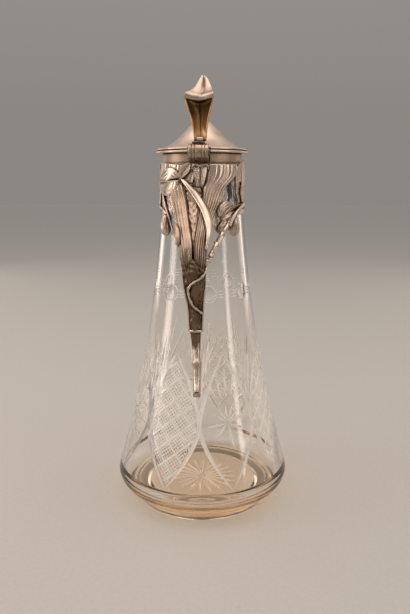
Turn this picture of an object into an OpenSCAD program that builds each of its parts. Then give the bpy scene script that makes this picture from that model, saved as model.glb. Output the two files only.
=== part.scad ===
// Claret jug: a flared glass body in a cast metal mount with a hinged lid.
// The jug stands on z = 0 with its axis on +Z. The handle and the hinge are on
// the -Y side, the spout is on the +Y side. All lengths are in millimetres.

/* [Glass body] */
// Height of the ground top edge of the glass, inside the mount
glass_h = 276; // [264:1:290]
// Widest outer radius, just above the foot
shoulder_r = 73.2; // [70:0.2:76]
// Height of the widest ring
shoulder_z = 24; // [22:1:28]
// Outer radius of the straight neck
neck_r = 32; // [31.6:0.1:32.2]
// Length of the straight neck, from the flare to the top edge
neck_len = 14; // [12:1:18]
// Straightness of the flare, where 0 is a parabola and 1 is a cone
flare = 0.33; // [0.2:0.01:0.45]
// Outer radius of the foot ring
foot_r = 58; // [54:1:60]
// Height of the step over the foot ring
foot_h = 5.5; // [4.5:0.5:6.5]
// Wall thickness of the flared part
wall = 3.2; // [2.8:0.1:3.5]
// Thickness of the floor
floor_t = 13; // [10:1:15]
// Depth of the hollow under the foot
kick_d = 2.5; // [1.5:0.5:3.5]

/* [Cut pattern] */
// Height of the lower tips of the panels
panel_low = 37; // [34:1:42]
// Height of the upper tips of the panels
panel_high = 139; // [130:1:146]
// Height where neighbouring panels come closest
waist_z = 80; // [74:1:86]
// Width of a mitre cut
cut_w = 2.6; // [2:0.2:3]
// Depth of a mitre cut
cut_d = 0.8; // [0.5:0.1:1]
// Distance between the main cuts of a lattice
lattice_pitch = 11.2; // [10:0.2:14]
// Height of the foot of a leaf cut
leaf_low = 103; // [98:1:108]
// Height of the tip of a leaf cut
leaf_high = 142; // [134:1:150]
// Height of the stars
star_z = 85; // [80:1:92]
// Radius of a star
star_r = 14; // [11:0.5:16]
// Height of the ring of round hollows
printy_z = 182.6; // [174:0.2:192]
// Radius of a round hollow
printy_r = 5.7; // [4.5:0.1:6.5]

/* [Neck mount] */
// Outer radius of the band round the glass neck
band_r = 33.3; // [33:0.1:34]
// How far the band reaches down over the glass
band_cover = 8; // [6:0.5:10]
// Outer radius of the mouth ring
mouth_r = 31.4; // [31:0.1:31.8]
// Height of the band, up to the step under the mouth ring
band_h = 13.4; // [12.8:0.2:15]
// Height of the mouth ring over the step
ring_h = 7.2; // [6.8:0.2:8]
// Radius of the mouth
bore_r = 28.2; // [27.8:0.1:28.4]
// Thickness of the plaster between the glass and the band
plaster_t = 0.5; // [0.4:0.1:0.6]

/* [Spout] */
// Reach of the pouring lip from the axis
spout_y = 53; // [50:1:56]
// Half width of the spout's channel where it leaves the mouth
spout_w = 10.5; // [9.5:0.5:11.5]
// Depth of the spout's channel where it leaves the mouth
spout_d = 9.5; // [8:0.5:10]
// Wall thickness of the spout
spout_t = 1.6; // [1.4:0.1:1.9]

/* [Hinge] */
// Distance of the hinge axis from the jug's axis
hinge_y = 38.5; // [38.4:0.1:39.2]
// Radius of the hinge barrel
barrel_r = 5.9; // [5.6:0.1:6]
// Width of an outer knuckle
outer_knuckle = 2.5; // [2.2:0.1:3]
// Width of a lid knuckle
lid_knuckle = 2; // [1.8:0.1:2.4]
// Width of the middle knuckle
middle_knuckle = 5.2; // [4.6:0.1:6]
// Radius of the hinge pin
pin_r = 1.6; // [1.3:0.1:1.9]
// Running clearance round the pin
pin_gap = 0.05; // [0.03:0.01:0.08]
// Side clearance between knuckles
side_gap = 0.15; // [0.1:0.05:0.2]

/* [Lid] */
// Clearance between the closed lid and the mouth ring
lid_gap = 0.3; // [0.2:0.05:0.4]
// Outer radius of the lid's rim
lid_r = 36.8; // [36.4:0.1:37.2]
// Thickness of the rim under the cone
rim_t = 2.6; // [2.4:0.1:2.9]
// Rise of the cone over the rim
cone_h = 26; // [22:1:30]
// Sheet thickness of the cone
cone_t = 1; // [0.8:0.1:1.3]
// Depth of the bezel that drops into the mouth
bezel_h = 4; // [3:0.5:4.5]
// Clearance round the bezel
bezel_gap = 0.5; // [0.4:0.1:0.7]

/* [Thumbpiece] */
// Height of the trough from its foot to its lip
trough_h = 33; // [29:1:36]
// Half width of the lip
lip_w = 11; // [9.5:0.5:12]
// Rise of the petal over the lip
petal_h = 16; // [12:1:19]
// How far the trough leans back from its foot
trough_lean = 8; // [6:0.5:10]
// How far the petal's tip lies behind the foot
petal_lean = 17.5; // [15:0.5:20]
// Thickness of the trough's wall
thumb_t = 1.6; // [1.3:0.1:1.9]

/* [Handle] */
// Distance of the handle's centre line from the jug's axis at the bow
bow_r = 65.6; // [64:0.2:66]
// Drop from the band's lower edge to the bow, where the stalks enter the grip
join_drop = 54; // [50:1:58]
// Half width of the grip under the bow
grip_w = 9.6; // [9.1:0.1:10.1]
// Length of the grip, from the bow to its lower rim
grip_len = 57; // [52:1:62]
// Reach of the cut tail from the jug's axis
tail_y = 70; // [68:0.5:71]
// Drop from the grip's lower rim to the end of the cut tail
tail_drop = 46; // [42:1:50]
// Radius of the tail at its cut end
tail_r = 2.7; // [2.5:0.1:3]
// Radius of the hole in the cut end
tail_bore = 1.7; // [1.3:0.1:1.9]

/* [Flowers] */
// Half width of a bud
bud_r = 4.3; // [3.8:0.1:4.6]
// Length of a bud
bud_h = 16.5; // [15:0.5:18]
// Drop from the band's lower edge to a bud's tip
bud_drop = 42; // [40:1:44]
// Half width of the leaf that covers the band left of the hinge
flap_w = 12.6; // [11:0.2:14]
// Thickness of the leaves on the band
leaf_t = 1.6; // [1.3:0.1:1.8]
// Radius of the thin stems
stem_r = 0.95; // [0.8:0.05:1.1]

/* [Hidden] */

metal = [0.74, 0.68, 0.62];
dark_metal = [0.56, 0.48, 0.40];
glass_tint = [0.88, 0.86, 0.80, 0.45];
plaster_white = [0.90, 0.88, 0.82];

neck_z = glass_h - neck_len;      // where the flare meets the straight neck
band_z = glass_h - band_cover;    // the band's lower edge
step_z = band_z + band_h;         // the step between the band and the mouth ring
rim_z = step_z + ring_h;          // the mouth ring's top face
join_z = band_z - join_drop;      // the bow
grip_z = join_z - grip_len;       // the grip's lower rim
tail_z = grip_z - tail_drop;      // the end of the cut tail
bud_z = band_z - bud_drop;        // the tips of the buds

solder = 0.1;     // gap between castings that are soldered together
seat_gap = 0.3;   // gap between a casting and the glass
edge = 0.5;       // small bevel on turned edges

// ---- Shared functions ------------------------------------------------------

function mix(a, b, f) = a + (b - a) * f;
function unit(v) = v / norm(v);

// Outer radius of the glass at height z, above the widest ring.
function glass_r(z) =
    let (u = max(0, neck_z - z) / (neck_z - shoulder_z))
    neck_r + (shoulder_r - neck_r) * (flare * u + (1 - flare) * u * u);

// The point at angle a from the handle, radius r and height z.
function around(a, r, z) = [r * sin(a), -r * cos(a), z];

// The radius that a casting on the neck may not go below.
function seat_r(z) = max(glass_r(z) + seat_gap, z > band_z - 2 ? band_r + solder : 0);

// Value of a smooth curve through the rows of p, for t from 0 to len(p) - 1.
function curve(p, t) =
    let (
        last = len(p) - 1,
        i = max(0, min(floor(t), last - 1)),
        f = t - i,
        b = p[i],
        c = p[i + 1],
        mb = i > 0 ? (c - p[i - 1]) / 2 : c - b,
        mc = i < last - 1 ? (p[i + 2] - b) / 2 : c - b
    )
    b * (1 - 3 * f * f + 2 * f * f * f) + c * (3 * f * f - 2 * f * f * f)
    + mb * (f - 2 * f * f + f * f * f) + mc * (f * f * f - f * f);

// The curve's rows at n + 1 even steps.
function steps(p, n) = [for (i = [0:n]) curve(p, i * (len(p) - 1) / n)];

// Points on an arc in a section, from angle a to angle b in n steps.
function arc(c, r, a, b, n) =
    [for (i = [0:n]) c + r * [cos(mix(a, b, i / n)), sin(mix(a, b, i / n))]];

// Closed solid through rings of equal length, each counter-clockwise seen from the next.
module loft(rings) {
    n = len(rings[0]);
    m = len(rings);
    polyhedron(
        points = [for (r = rings) each r],
        faces = concat(
            [[for (i = [0:n - 1]) i]],
            [[for (i = [n - 1:-1:0]) (m - 1) * n + i]],
            [for (j = [0:m - 2], i = [0:n - 1])
                [j * n + i, (j + 1) * n + i, (j + 1) * n + (i + 1) % n, j * n + (i + 1) % n]]
        )
    );
}

// Level section of a casting. A row holds its height, angle, half width, radius
// and half thickness. Every other point of the outer side stands out as a rib.
function casting_ring(row, sides, rib) = [
    for (i = [0:sides - 1])
        let (
            t = 360 * i / sides,
            ribbed = i % 2 == 0 && t > 0 && t < 180 ? 1 + rib : 1
        )
        around(
            row[1] + row[2] * cos(t) / row[3] * 180 / PI,
            row[3] + row[4] * ribbed * sin(t),
            row[0]
        )
];

// Casting through rows that run from its top down.
module casting(rows, rings, sides = 16, rib = 0) {
    loft([for (s = steps(rows, rings)) casting_ring(s, sides, rib)]);
}

// Stem or narrow leaf that lies on the neck. A row holds its angle, height,
// half width, half thickness and stand-off.
module neck_stem(rows, rings, sides = 8) {
    s = steps(rows, rings);
    p = [for (q = s) around(q[0], seat_r(q[1]) + q[3] + q[4], q[1])];
    loft([for (i = [0:rings])
        let (
            out = around(s[i][0], 1, 0),
            along = unit(p[min(i + 1, rings)] - p[max(i - 1, 0)]),
            across = unit(cross(out, along)),
            up = cross(along, across)
        )
        [for (k = [0:sides - 1])
            p[i] + across * s[i][2] * cos(360 * k / sides) + up * s[i][3] * sin(360 * k / sides)]
    ]);
}

// ---- Glass -----------------------------------------------------------------

flare_steps = 14;  // rings along the flare
flare_heights = [for (i = [0:flare_steps]) mix(shoulder_z, neck_z, i / flare_steps)];
foot_top_r = foot_r + 3;  // the body's radius just over the step
floor_z = kick_d + floor_t;
cove = 9;          // radius of the inner corner at the floor

module glass_blank() {
    rotate_extrude($fn = 128)
        polygon(concat(
            [[0, kick_d], [foot_r - 12, kick_d], [foot_r - 9, 0], [foot_r - 3, 0]],
            arc([foot_r - 2.5, 2.5], 2.5, -90, 0, 4),
            [[foot_r, foot_h - 1.2]],
            [for (i = [0:7])
                [mix(foot_top_r, shoulder_r, sin(90 * i / 8)), mix(foot_h, shoulder_z, i / 8)]],
            [for (z = flare_heights) [glass_r(z), z]],
            [[neck_r, glass_h], [neck_r - wall, glass_h]],
            [for (i = [flare_steps:-1:1]) [glass_r(flare_heights[i]) - wall, flare_heights[i]]],
            arc([shoulder_r - wall - 3 - cove, floor_z + cove], cove, 0, -90, 6),
            [[0, floor_z]]
        ));
}

// The point on the glass at angle a and height z, or off it by out.
function on_glass(a, z, out) =
    let (n = unit([1, glass_r(z - 0.5) - glass_r(z + 0.5)]))
    around(a, glass_r(z) + out * n[0], z + out * n[1]);

// Angle that a length spans on the glass at height z.
function glass_angle(length, z) = length / glass_r(z) * 180 / PI;

cut_lift = 0.6;   // how far a cutter stands out of the glass
cut_gap = 0.3;    // uncut glass between two cuts that run side by side

// Mitre cut along a way of angles and heights. It runs out at both ends.
module mitre(way) {
    n = len(way) - 1;
    low = [for (i = [0:n]) on_glass(way[i][0], way[i][1], i == 0 || i == n ? -0.1 * cut_d : -cut_d)];
    top = [for (w = way) on_glass(w[0], w[1], cut_lift)];
    loft([for (i = [0:n])
        let (
            along = unit(top[min(i + 1, n)] - top[max(i - 1, 0)]),
            side = unit(cross(top[i] - low[i], along)) * cut_w / 2 * (1 + cut_lift / cut_d)
        )
        [low[i], top[i] + side, top[i] - side]
    ]);
}

panels = 8;       // lattices and stars take turns
panel_angle = 360 / panels;
lattice_centre = -21;
star_centre = lattice_centre + panel_angle;
beside = cut_w / 2 + cut_gap;

// Half the angle that a panel's outline spans at height z, up to the middle of its cut.
function half_angle(z) =
    let (
        over = z > waist_z,
        share = min(1, abs(z - waist_z) / (over ? panel_high - waist_z : waist_z - panel_low)),
        waist = panel_angle / 2 - glass_angle(beside, waist_z)
    )
    mix(waist, glass_angle(beside, z), pow(share, over ? 1.75 : 1.35));

module outline(centre, side) {
    n = 8;
    mitre([for (i = [0:n]) let (z = mix(panel_low, panel_high, i / n)) [centre + side * half_angle(z), z]]);
}

// The stretch of a straight line that lies inside a panel, k pitches from its
// middle and at a slant. It stops short of the outline.
function lattice_line(k, slant) =
    let (
        c = cos(slant),
        s = sin(slant),
        inside = [for (i = [-70:70])
            let (x = c * i - s * lattice_pitch * k, z = waist_z + 4 + s * i + c * lattice_pitch * k)
            if (z > panel_low + 2 && z < panel_high - 2
                && half_angle(z) > glass_angle(abs(x) + beside, z)) [glass_angle(x, z), z]],
        last = len(inside) - 1,
        n = 3
    )
    last < 3 * cut_w ? [] : [for (j = [0:n]) inside[round(j * last / n)]];

module lattice() {
    for (slant = [-50, 41], k = [-4:4]) {
        way = lattice_line(k, slant);
        if (len(way) > 0) mitre(way);
    }
}

module star() {
    for (turn = [12:45:147])
        mitre([for (r = [-1, 0, 1] * star_r)
            let (z = star_z + r * sin(turn))
            [star_centre + glass_angle(r * cos(turn), z), z]]);
}

// Pair of tall leaf cuts that rise beside the upper halves of two outlines.
module leaf_cuts() {
    for (side = [-1, 1])
        mitre([for (s = [0, 0.5, 1])
            [lattice_centre + panel_angle / 2 + side * mix(1.5, 5, s), mix(leaf_low, leaf_high, s)]]);
}

module glass_body() {
    printy_d = 0.95;  // depth of a round hollow
    ball_r = (printy_r * printy_r + printy_d * printy_d) / (2 * printy_d);
    printy_angle = lattice_centre - 13;
    color(glass_tint)
        difference() {
            glass_blank();
            for (i = [0:panels - 1])
                rotate([0, 0, panel_angle * i]) {
                    outline(lattice_centre, -1);
                    outline(lattice_centre, 1);
                    leaf_cuts();
                    translate(on_glass(printy_angle, printy_z, ball_r - printy_d))
                        sphere(r = ball_r, $fn = 96);
                }
            for (i = [0:panels / 2 - 1])
                rotate([0, 0, 2 * panel_angle * i]) {
                    rotate([0, 0, lattice_centre]) lattice();
                    star();
                }
        }
}

plaster_r = neck_r + plaster_t;  // inner radius of the band
plaster_top = glass_h + plaster_t;
slip = 0.02;                     // the plaster stops this far short of the metal

module plaster_bed() {
    color(plaster_white)
        rotate_extrude($fn = 128)
            polygon([
                [neck_r + slip, band_z + 1],
                [plaster_r - slip, band_z + 1],
                [plaster_r - slip, plaster_top - slip],
                [neck_r - wall + edge, plaster_top - slip],
                [neck_r - wall + edge, glass_h + slip],
                [neck_r + slip, glass_h + slip]
            ]);
}

// ---- Neck mount ------------------------------------------------------------

hinge_z = rim_z + 0.2;
hinge_len = 2 * outer_knuckle + 2 * lid_knuckle + middle_knuckle + 4 * side_gap;
notch_w = hinge_len + 1.2;      // width of the notch in the mount for the hinge
notch_y = bore_r + 1.3;         // distance of the notch's floor from the axis

// The form of the spout's channel, or of its outside when grown by the wall. The
// top is level with the mouth ring, or above it when lifted.
module spout_form(grow, lift) {
    reach = spout_y + (lift > 0 ? 1 : 0);
    rows = [
        [bore_r - 5, spout_w, spout_d],
        [mix(mouth_r, reach, 0.2), spout_w, spout_d * 0.95],
        [mix(mouth_r, reach, 0.6), spout_w * 0.66, spout_d * 0.7],
        [reach, spout_w * 0.24, spout_d * 0.3]
    ];
    loft([for (s = steps(rows, 8))
        let (w = s[1] + grow, d = s[2] + grow)
        concat(
            [[-w, s[0], rim_z + lift], [w, s[0], rim_z + lift]],
            [for (k = [0:8])
                let (t = 180 * k / 8, c = cos(t))
                [w * sign(c) * pow(abs(c), 0.8), s[0], rim_z - 1 - (d - 1) * pow(sin(t), 0.9)]]
        )
    ]);
}

module neck_band() {
    color(metal)
        difference() {
            rotate_extrude($fn = 128)
                polygon([
                    [plaster_r, band_z],
                    [band_r - edge / 2, band_z],
                    [band_r, band_z + edge / 2],
                    [band_r, step_z - edge],
                    [band_r - edge, step_z],
                    [mouth_r, step_z],
                    [mouth_r, rim_z - edge],
                    [mouth_r - edge, rim_z],
                    [bore_r, rim_z],
                    [bore_r, plaster_top],
                    [plaster_r, plaster_top]
                ]);
            translate([-notch_w / 2, -notch_y - 10, step_z + edge])
                cube([notch_w, 10, rim_z - step_z]);
            spout_form(0, 1);
        }
}

module spout() {
    color(metal)
        difference() {
            spout_form(spout_t, 0);
            spout_form(0, 1);
            cylinder(h = rim_z + 1, r = mouth_r + solder, $fn = 128);
            cylinder(h = step_z + solder, r = band_r + solder, $fn = 128);
        }
}

// ---- Hinge -----------------------------------------------------------------

// Left edge and width of each knuckle, from -X to +X.
knuckle_widths = [outer_knuckle, lid_knuckle, middle_knuckle, lid_knuckle, outer_knuckle];
function knuckle_x(i) =
    -hinge_len / 2 + (i == 0 ? 0 : knuckle_x(i - 1) + hinge_len / 2 + knuckle_widths[i - 1] + side_gap);
plate_t = 2;      // thickness of the hinge's back plate
plate_z = step_z + edge + solder;

module knuckle(i) {
    translate([knuckle_x(i), -hinge_y, hinge_z])
        rotate([0, 90, 0])
            cylinder(h = knuckle_widths[i], r = barrel_r, $fn = 64);
}

module pin_bore() {
    translate([-hinge_len, -hinge_y, hinge_z])
        rotate([0, 90, 0])
            cylinder(h = 2 * hinge_len, r = pin_r + pin_gap, $fn = 48);
}

module hinge_bracket() {
    color(metal)
        difference() {
            union() {
                for (i = [0, 2, 4]) {
                    knuckle(i);
                    translate([knuckle_x(i), -hinge_y, hinge_z - barrel_r + 1])
                        cube([knuckle_widths[i], hinge_y - notch_y - 1, barrel_r - 2]);
                }
                translate([-hinge_len / 2, -notch_y - solder - plate_t, plate_z])
                    cube([hinge_len, plate_t, rim_z - edge - plate_z]);
            }
            pin_bore();
        }
}

module hinge_pin() {
    head_r = pin_r + 0.9;
    head_t = 0.7;
    color(dark_metal)
        translate([0, -hinge_y, hinge_z])
            rotate([0, 90, 0])
                union() {
                    cylinder(h = hinge_len + 2 * solder, r = pin_r, center = true, $fn = 48);
                    for (side = [-1, 1])
                        translate([0, 0, side * (hinge_len / 2 + solder + head_t / 2)])
                            cylinder(h = head_t, r = head_r, center = true, $fn = 48);
                }
}

lid_z = rim_z + lid_gap;         // underside of the lid
lid_cut_y = hinge_y - barrel_r - 0.6;  // the lid's rim ends here beside the hinge
lid_cut_w = hinge_len + 2 * (solder + 0.7 + 0.5);
rim_top = lid_z + rim_t;
saddle_t = 1.3;                  // thickness of the saddle over the barrel
saddle_gap = 0.35;               // clearance between the saddle and the middle knuckle
saddle_w = 2 * lid_knuckle + middle_knuckle + 2 * side_gap;
saddle_r = barrel_r + saddle_gap + saddle_t;
saddle_start = 127;              // the saddle's arc, from straight down towards the spout
saddle_turn = 60;

// Sector of a drum on the hinge axis, over the saddle's arc.
module saddle_drum() {
    sector = arc([0, 0], 2 * saddle_r, saddle_start, saddle_start + saddle_turn, 2);
    translate([-saddle_w / 2, -hinge_y, hinge_z])
        rotate([0, 90, 0])
            intersection() {
                cylinder(h = saddle_w, r = saddle_r, $fn = 96);
                linear_extrude(saddle_w) polygon(concat([[0, 0]], sector));
            }
}

// The two knuckles of the lid, their straps to the rim, and the saddle that
// bridges the middle knuckle and carries the thumbpiece.
module lid_knuckles() {
    color(metal)
        difference() {
            union() {
                for (i = [1, 3]) {
                    knuckle(i);
                    translate([knuckle_x(i), -hinge_y, lid_z + solder])
                        cube([lid_knuckle, hinge_y - lid_cut_y - solder, rim_top - lid_z - solder]);
                }
                saddle_drum();
            }
            translate([knuckle_x(2) - side_gap, -hinge_y, hinge_z])
                rotate([0, 90, 0])
                    cylinder(h = middle_knuckle + 2 * side_gap, r = saddle_r - saddle_t, $fn = 96);
            pin_bore();
        }
}

// ---- Lid -------------------------------------------------------------------

module lid_cut() {
    translate([-lid_cut_w / 2, -hinge_y - 10, lid_z - 1])
        cube([lid_cut_w, 10 + hinge_y - lid_cut_y, cone_h]);
}

module lid_rim() {
    bead = rim_t / 3;
    bead_x = lid_r - bead;
    color(metal)
        difference() {
            rotate_extrude($fn = 128)
                polygon(concat(
                    [[bore_r - bezel_gap - 1.1, lid_z], [bead_x, lid_z]],
                    arc([bead_x, lid_z + bead], bead, -75, 75, 6),
                    arc([bead_x - 0.4, lid_z + rim_t - bead * 0.62], bead * 0.62, -70, 85, 5),
                    [[bore_r - bezel_gap - 1.1, rim_top]]
                ));
            lid_cut();
        }
}

cone_r = lid_r - 2.4;            // the cone's foot on the rim
// Outer edge of the cone's section, from the foot to the apex.
cone_rows = [
    [cone_r, 0.5], [cone_r * 0.95, 1.2], [cone_r * 0.85, 2.6], [cone_r * 0.64, cone_h * 0.27],
    [cone_r * 0.41, cone_h * 0.57], [cone_r * 0.2, cone_h * 0.83], [cone_r * 0.06, cone_h * 0.975]
];

module lid_cone() {
    outer = steps(cone_rows, 18);
    color(metal)
        difference() {
            translate([0, 0, rim_top])
                rotate_extrude($fn = 128)
                    polygon(concat(
                        [[cone_r, 0]],
                        outer,
                        [[0, cone_h], [0, cone_h - 1.3 * cone_t]],
                        [for (i = [18:-1:4]) outer[i] - [0.72 * cone_t, 0.8 * cone_t]],
                        [[cone_r - 3.5, 0]]
                    ));
            lid_cut();
        }
}

module lid_bezel() {
    color(metal)
        rotate_extrude($fn = 128)
            polygon([
                [bore_r - bezel_gap - 1, lid_z],
                [bore_r - bezel_gap - 1, lid_z - bezel_h + edge],
                [bore_r - bezel_gap - 0.7, lid_z - bezel_h],
                [bore_r - bezel_gap, lid_z - bezel_h + edge],
                [bore_r - bezel_gap, lid_z]
            ]);
}

// Pointed plate over the spout's channel.
module lid_beak() {
    w = spout_w + spout_t;
    rows = [
        [mouth_r - 4, w + 0.6, 1.8],
        [mix(mouth_r, spout_y, 0.3), w * 0.94, 2.2],
        [mix(mouth_r, spout_y, 0.65), w * 0.66, 2],
        [spout_y + 0.8, spout_w * 0.24 + spout_t + 0.4, 1.2]
    ];
    color(metal)
        difference() {
            loft([for (s = steps(rows, 8))
                [
                    [-s[1], s[0], lid_z], [s[1], s[0], lid_z], [s[1], s[0], lid_z + 0.8],
                    [s[1] * 0.5, s[0], lid_z + 0.4 + s[2] * 0.7], [0, s[0], lid_z + 0.6 + s[2]],
                    [-s[1] * 0.5, s[0], lid_z + 0.4 + s[2] * 0.7], [-s[1], s[0], lid_z + 0.8]
                ]
            ]);
            translate([0, 0, lid_z - 1])
                cylinder(h = 10, r = lid_r + solder, $fn = 128);
        }
}

// ---- Thumbpiece ------------------------------------------------------------

foot_y = hinge_y - 1.5;          // distance of the trough's foot from the axis
trough_z = hinge_z + saddle_r + solder;
lip_z = trough_z + trough_h;

// Section of the trough or petal: a channel that opens towards the handle.
// A row holds height, distance from the axis, half width, depth, thickness and sideways place.
function channel_ring(s) =
    let (n = 8)
    concat(
        [for (k = [-n:n]) let (u = k / n) [s[5] + s[2] * u, -s[1] - s[3] * pow(abs(u), 1.6), s[0]]],
        [for (k = [n:-1:-n]) let (u = k / n)
            [s[5] + s[2] * u * 0.93, -s[1] - s[3] * pow(abs(u), 1.6) + s[4], s[0]]]
    );

// Rows of the trough: share of its height, of the lean, of the lip's width twice, of the wall
// and of the lip's width again, which is how far it stands to the right.
trough_rows = [for (s = [
    [0, 0.2, 0.42, 0.13, 1.4, 0.1],
    [0.3, 0.625, 0.535, 0.235, 1.1, 0.08],
    [0.62, 1, 0.725, 0.365, 1, 0.04],
    [0.87, 0.875, 0.925, 0.38, 0.95, 0],
    [1, 0.45, 1, 0.22, 1.1, 0]
]) [
    mix(trough_z, lip_z, s[0]), foot_y - s[1] * trough_lean, s[2] * lip_w, s[3] * lip_w, s[4] * thumb_t,
    s[5] * lip_w
]];

// Rows of the petal in the same terms, with its lean from the lip to the tip.
petal_rows = [for (s = [
    [0, 0, 1, 0.2, 1.6, 0],
    [0.18, 0.2, 0.84, 0.13, 1.75, 0.04],
    [0.42, 0.46, 0.6, 0.165, 1.6, 0.1],
    [0.75, 0.75, 0.4, 0.145, 1.5, 0.17],
    [1, 1, 0.13, 0.055, 1, 0.21]
]) [
    lip_z + solder + (petal_h - solder) * s[0], foot_y - mix(0.45 * trough_lean, petal_lean, s[1]),
    s[2] * lip_w, s[3] * lip_w, s[4] * thumb_t, s[5] * lip_w
]];

module thumb_trough() {
    color(metal) loft([for (s = steps(trough_rows, 14)) channel_ring(s)]);
}

module thumb_petal() {
    color(metal) loft([for (s = steps(petal_rows, 10)) channel_ring(s)]);
}

module thumb_curl() {
    curl_r = 1.5;
    color(metal)
        translate([0.1 * lip_w, -hinge_y - 1.2, hinge_z + saddle_r + curl_r + solder])
            rotate([0, 90, 0])
                union() {
                    cylinder(h = 4.4, r = curl_r, center = true, $fn = 32);
                    cylinder(h = 5.4, r = curl_r * 0.5, center = true, $fn = 32);
                }
}

// ---- Handle ----------------------------------------------------------------

root_z = band_z - 1.6;           // top of the left stalk, under the leaf on the band
root_r = band_r + 2.6;

// Rows of the left stalk: share of the way down, angle, share of the grip's width, share of
// the way out, thickness.
stalk_left_rows = [for (s = [
    [0, -30.8, 0.76, 0, 2.2],
    [0.23, -22.4, 0.66, 0.1, 2.8],
    [0.5, -13.8, 0.565, 0.405, 3.8],
    [0.77, -7.6, 0.54, 0.81, 4.8],
    [0.885, -6.5, 0.53, 0.945, 5.3],
    [1, -6, 0.52, 1, 5.5]
]) [mix(root_z, join_z, s[0]), s[1], s[2] * grip_w, mix(root_r, bow_r, s[3]), s[4]]];

// Rows of the right leaf in the same terms. It fans out over the band.
leaf_right_rows = [for (s = [
    [0, 33, 1.32, -0.045, 0.9],
    [0.1, 32, 1.34, -0.04, 1],
    [0.18, 26.5, 1.17, -0.03, 1.2],
    [0.27, 18.2, 0.84, 0.02, 1.6],
    [0.42, 12.3, 0.65, 0.155, 2.4],
    [0.61, 5.9, 0.52, 0.45, 3.4],
    [0.82, 3.5, 0.53, 0.8, 4.4],
    [1, 2.7, 0.46, 1, 5.3]
]) [mix(step_z - 1.5, join_z, s[0]), s[1], s[2] * grip_w, mix(root_r, bow_r, s[3]), s[4]]];

// Rows of the round stem that crosses from the left over the right leaf.
stalk_middle_rows = [for (s = [
    [0, -18, 2.1, 0.06, 1.4],
    [0.1, -10.4, 2.8, 0.115, 1.6],
    [0.24, -2, 2.9, 0.2, 1.7],
    [0.42, 5.2, 2.8, 0.41, 1.7],
    [0.64, 8.6, 2.3, 0.69, 1.5],
    [0.84, 7.7, 1.5, 0.94, 1.2],
    [1, 6, 0.6, 1.09, 0.6]
]) [mix(root_z + 2.2, join_z + 7, s[0]), s[1], s[2], mix(root_r, bow_r, s[3]), s[4]]];

// Rows of the web that closes the gap between the left stalk and the right leaf.
stalk_web_rows = [for (s = [
    [0.095, -6.2, 0.63, -0.005, 1],
    [0.18, -5.2, 0.59, 0.03, 1.2],
    [0.31, -4, 0.46, 0.14, 1.3],
    [0.485, -3.6, 0.28, 0.36, 1.3],
    [0.625, -2.7, 0.15, 0.56, 1.2],
    [0.73, -2.3, 0.06, 0.7, 0.9]
]) [mix(root_z, join_z, s[0]), s[1], s[2] * grip_w, mix(root_r, bow_r, s[3]), s[4]]];

// Rows of the grip at even heights: angle, half width, distance inside the bow, thickness.
grip_shape = [
    [-1.95, grip_w * 1.03, 0, 5.8],
    [-1.1, grip_w * 0.89, 0.5, 5.8],
    [-1.1, grip_w * 0.78, 3.1, 5.6],
    [-0.9, grip_w * 0.63, 6.5, 5.3],
    [-1, grip_w * 0.56, 9.3, 5],
    [-1.1, grip_w * 0.545, 11, 4.8]
];
function grip_at(z) = curve(grip_shape, (join_z - z) / (join_z - grip_z) * (len(grip_shape) - 1));

module stalk_left() {
    color(metal) casting(stalk_left_rows, 14, 20, 0.08);
}

module leaf_right() {
    color(metal) casting(leaf_right_rows, 16, 24, 0.1);
}

module stalk_middle() {
    color(metal) casting(stalk_middle_rows, 16, 10);
}

module stalk_web() {
    color(dark_metal) casting(stalk_web_rows, 12, 12, 0.12);
}

module grip() {
    top = join_z - solder;
    rim = 1.2;       // height of the turned rim at the sheath's end
    heights = concat([for (i = [0:14]) mix(top, grip_z + rim, i / 14)], [grip_z + rim * 0.6, grip_z]);
    color(dark_metal)
        loft([for (z = heights)
            let (g = grip_at(z), lip = z < grip_z + rim * 0.9 ? 0.45 : 0)
            casting_ring([z, g[0], g[1] + lip, bow_r - g[2], g[3] + lip], 20, 0.05)
        ]);
}

// Centre line of the tail, as distance from the axis and height, with its radius.
tail_end = grip_at(grip_z);
tail_x = 0.6;     // how far the cut end lies to the right
tail_rows = [
    [bow_r - tail_end[2], grip_z - solder, tail_end[1] - 1.3, tail_end[3] - 1.2],
    [bow_r - tail_end[2] + 0.2, mix(grip_z, tail_z, 0.16), 3.4, 3.1],
    [bow_r - tail_end[2] + 1, mix(grip_z, tail_z, 0.34), 2.9, 2.8],
    [mix(bow_r - tail_end[2], tail_y, 0.2), mix(grip_z, tail_z, 0.5), 3.1, 3.1],
    [mix(bow_r - tail_end[2], tail_y, 0.36), mix(grip_z, tail_z, 0.68), 2.5, 2.5],
    [mix(bow_r - tail_end[2], tail_y, 0.62), mix(grip_z, tail_z, 0.87), tail_r - 0.1, tail_r - 0.1],
    [tail_y, tail_z, tail_r, tail_r]
];

module tail() {
    n = 16;
    s = steps(tail_rows, n);
    last = s[n] - s[n - 1];
    pitch = atan2(last[0], -last[1]);   // lean of the cut end from straight down
    color(metal)
        difference() {
            loft([for (i = [0:n])
                let (
                    d = i == 0 ? [0, -1] : unit([for (k = [0, 1]) s[min(i + 1, n)][k] - s[i - 1][k]]),
                    c = [mix(bow_r * sin(tail_end[0]), tail_x, i / n), -s[i][0], s[i][1]]
                )
                [for (k = [0:11])
                    let (t = 30 * k)
                    c + [s[i][2] * cos(t), s[i][3] * sin(t) * d[1], s[i][3] * sin(t) * d[0]]]
            ]);
            translate([tail_x, -tail_y, tail_z])
                rotate([-pitch, 0, 0])
                    translate([0, 0, -1])
                        cylinder(h = 7, r = tail_bore, $fn = 32);
        }
}

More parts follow.
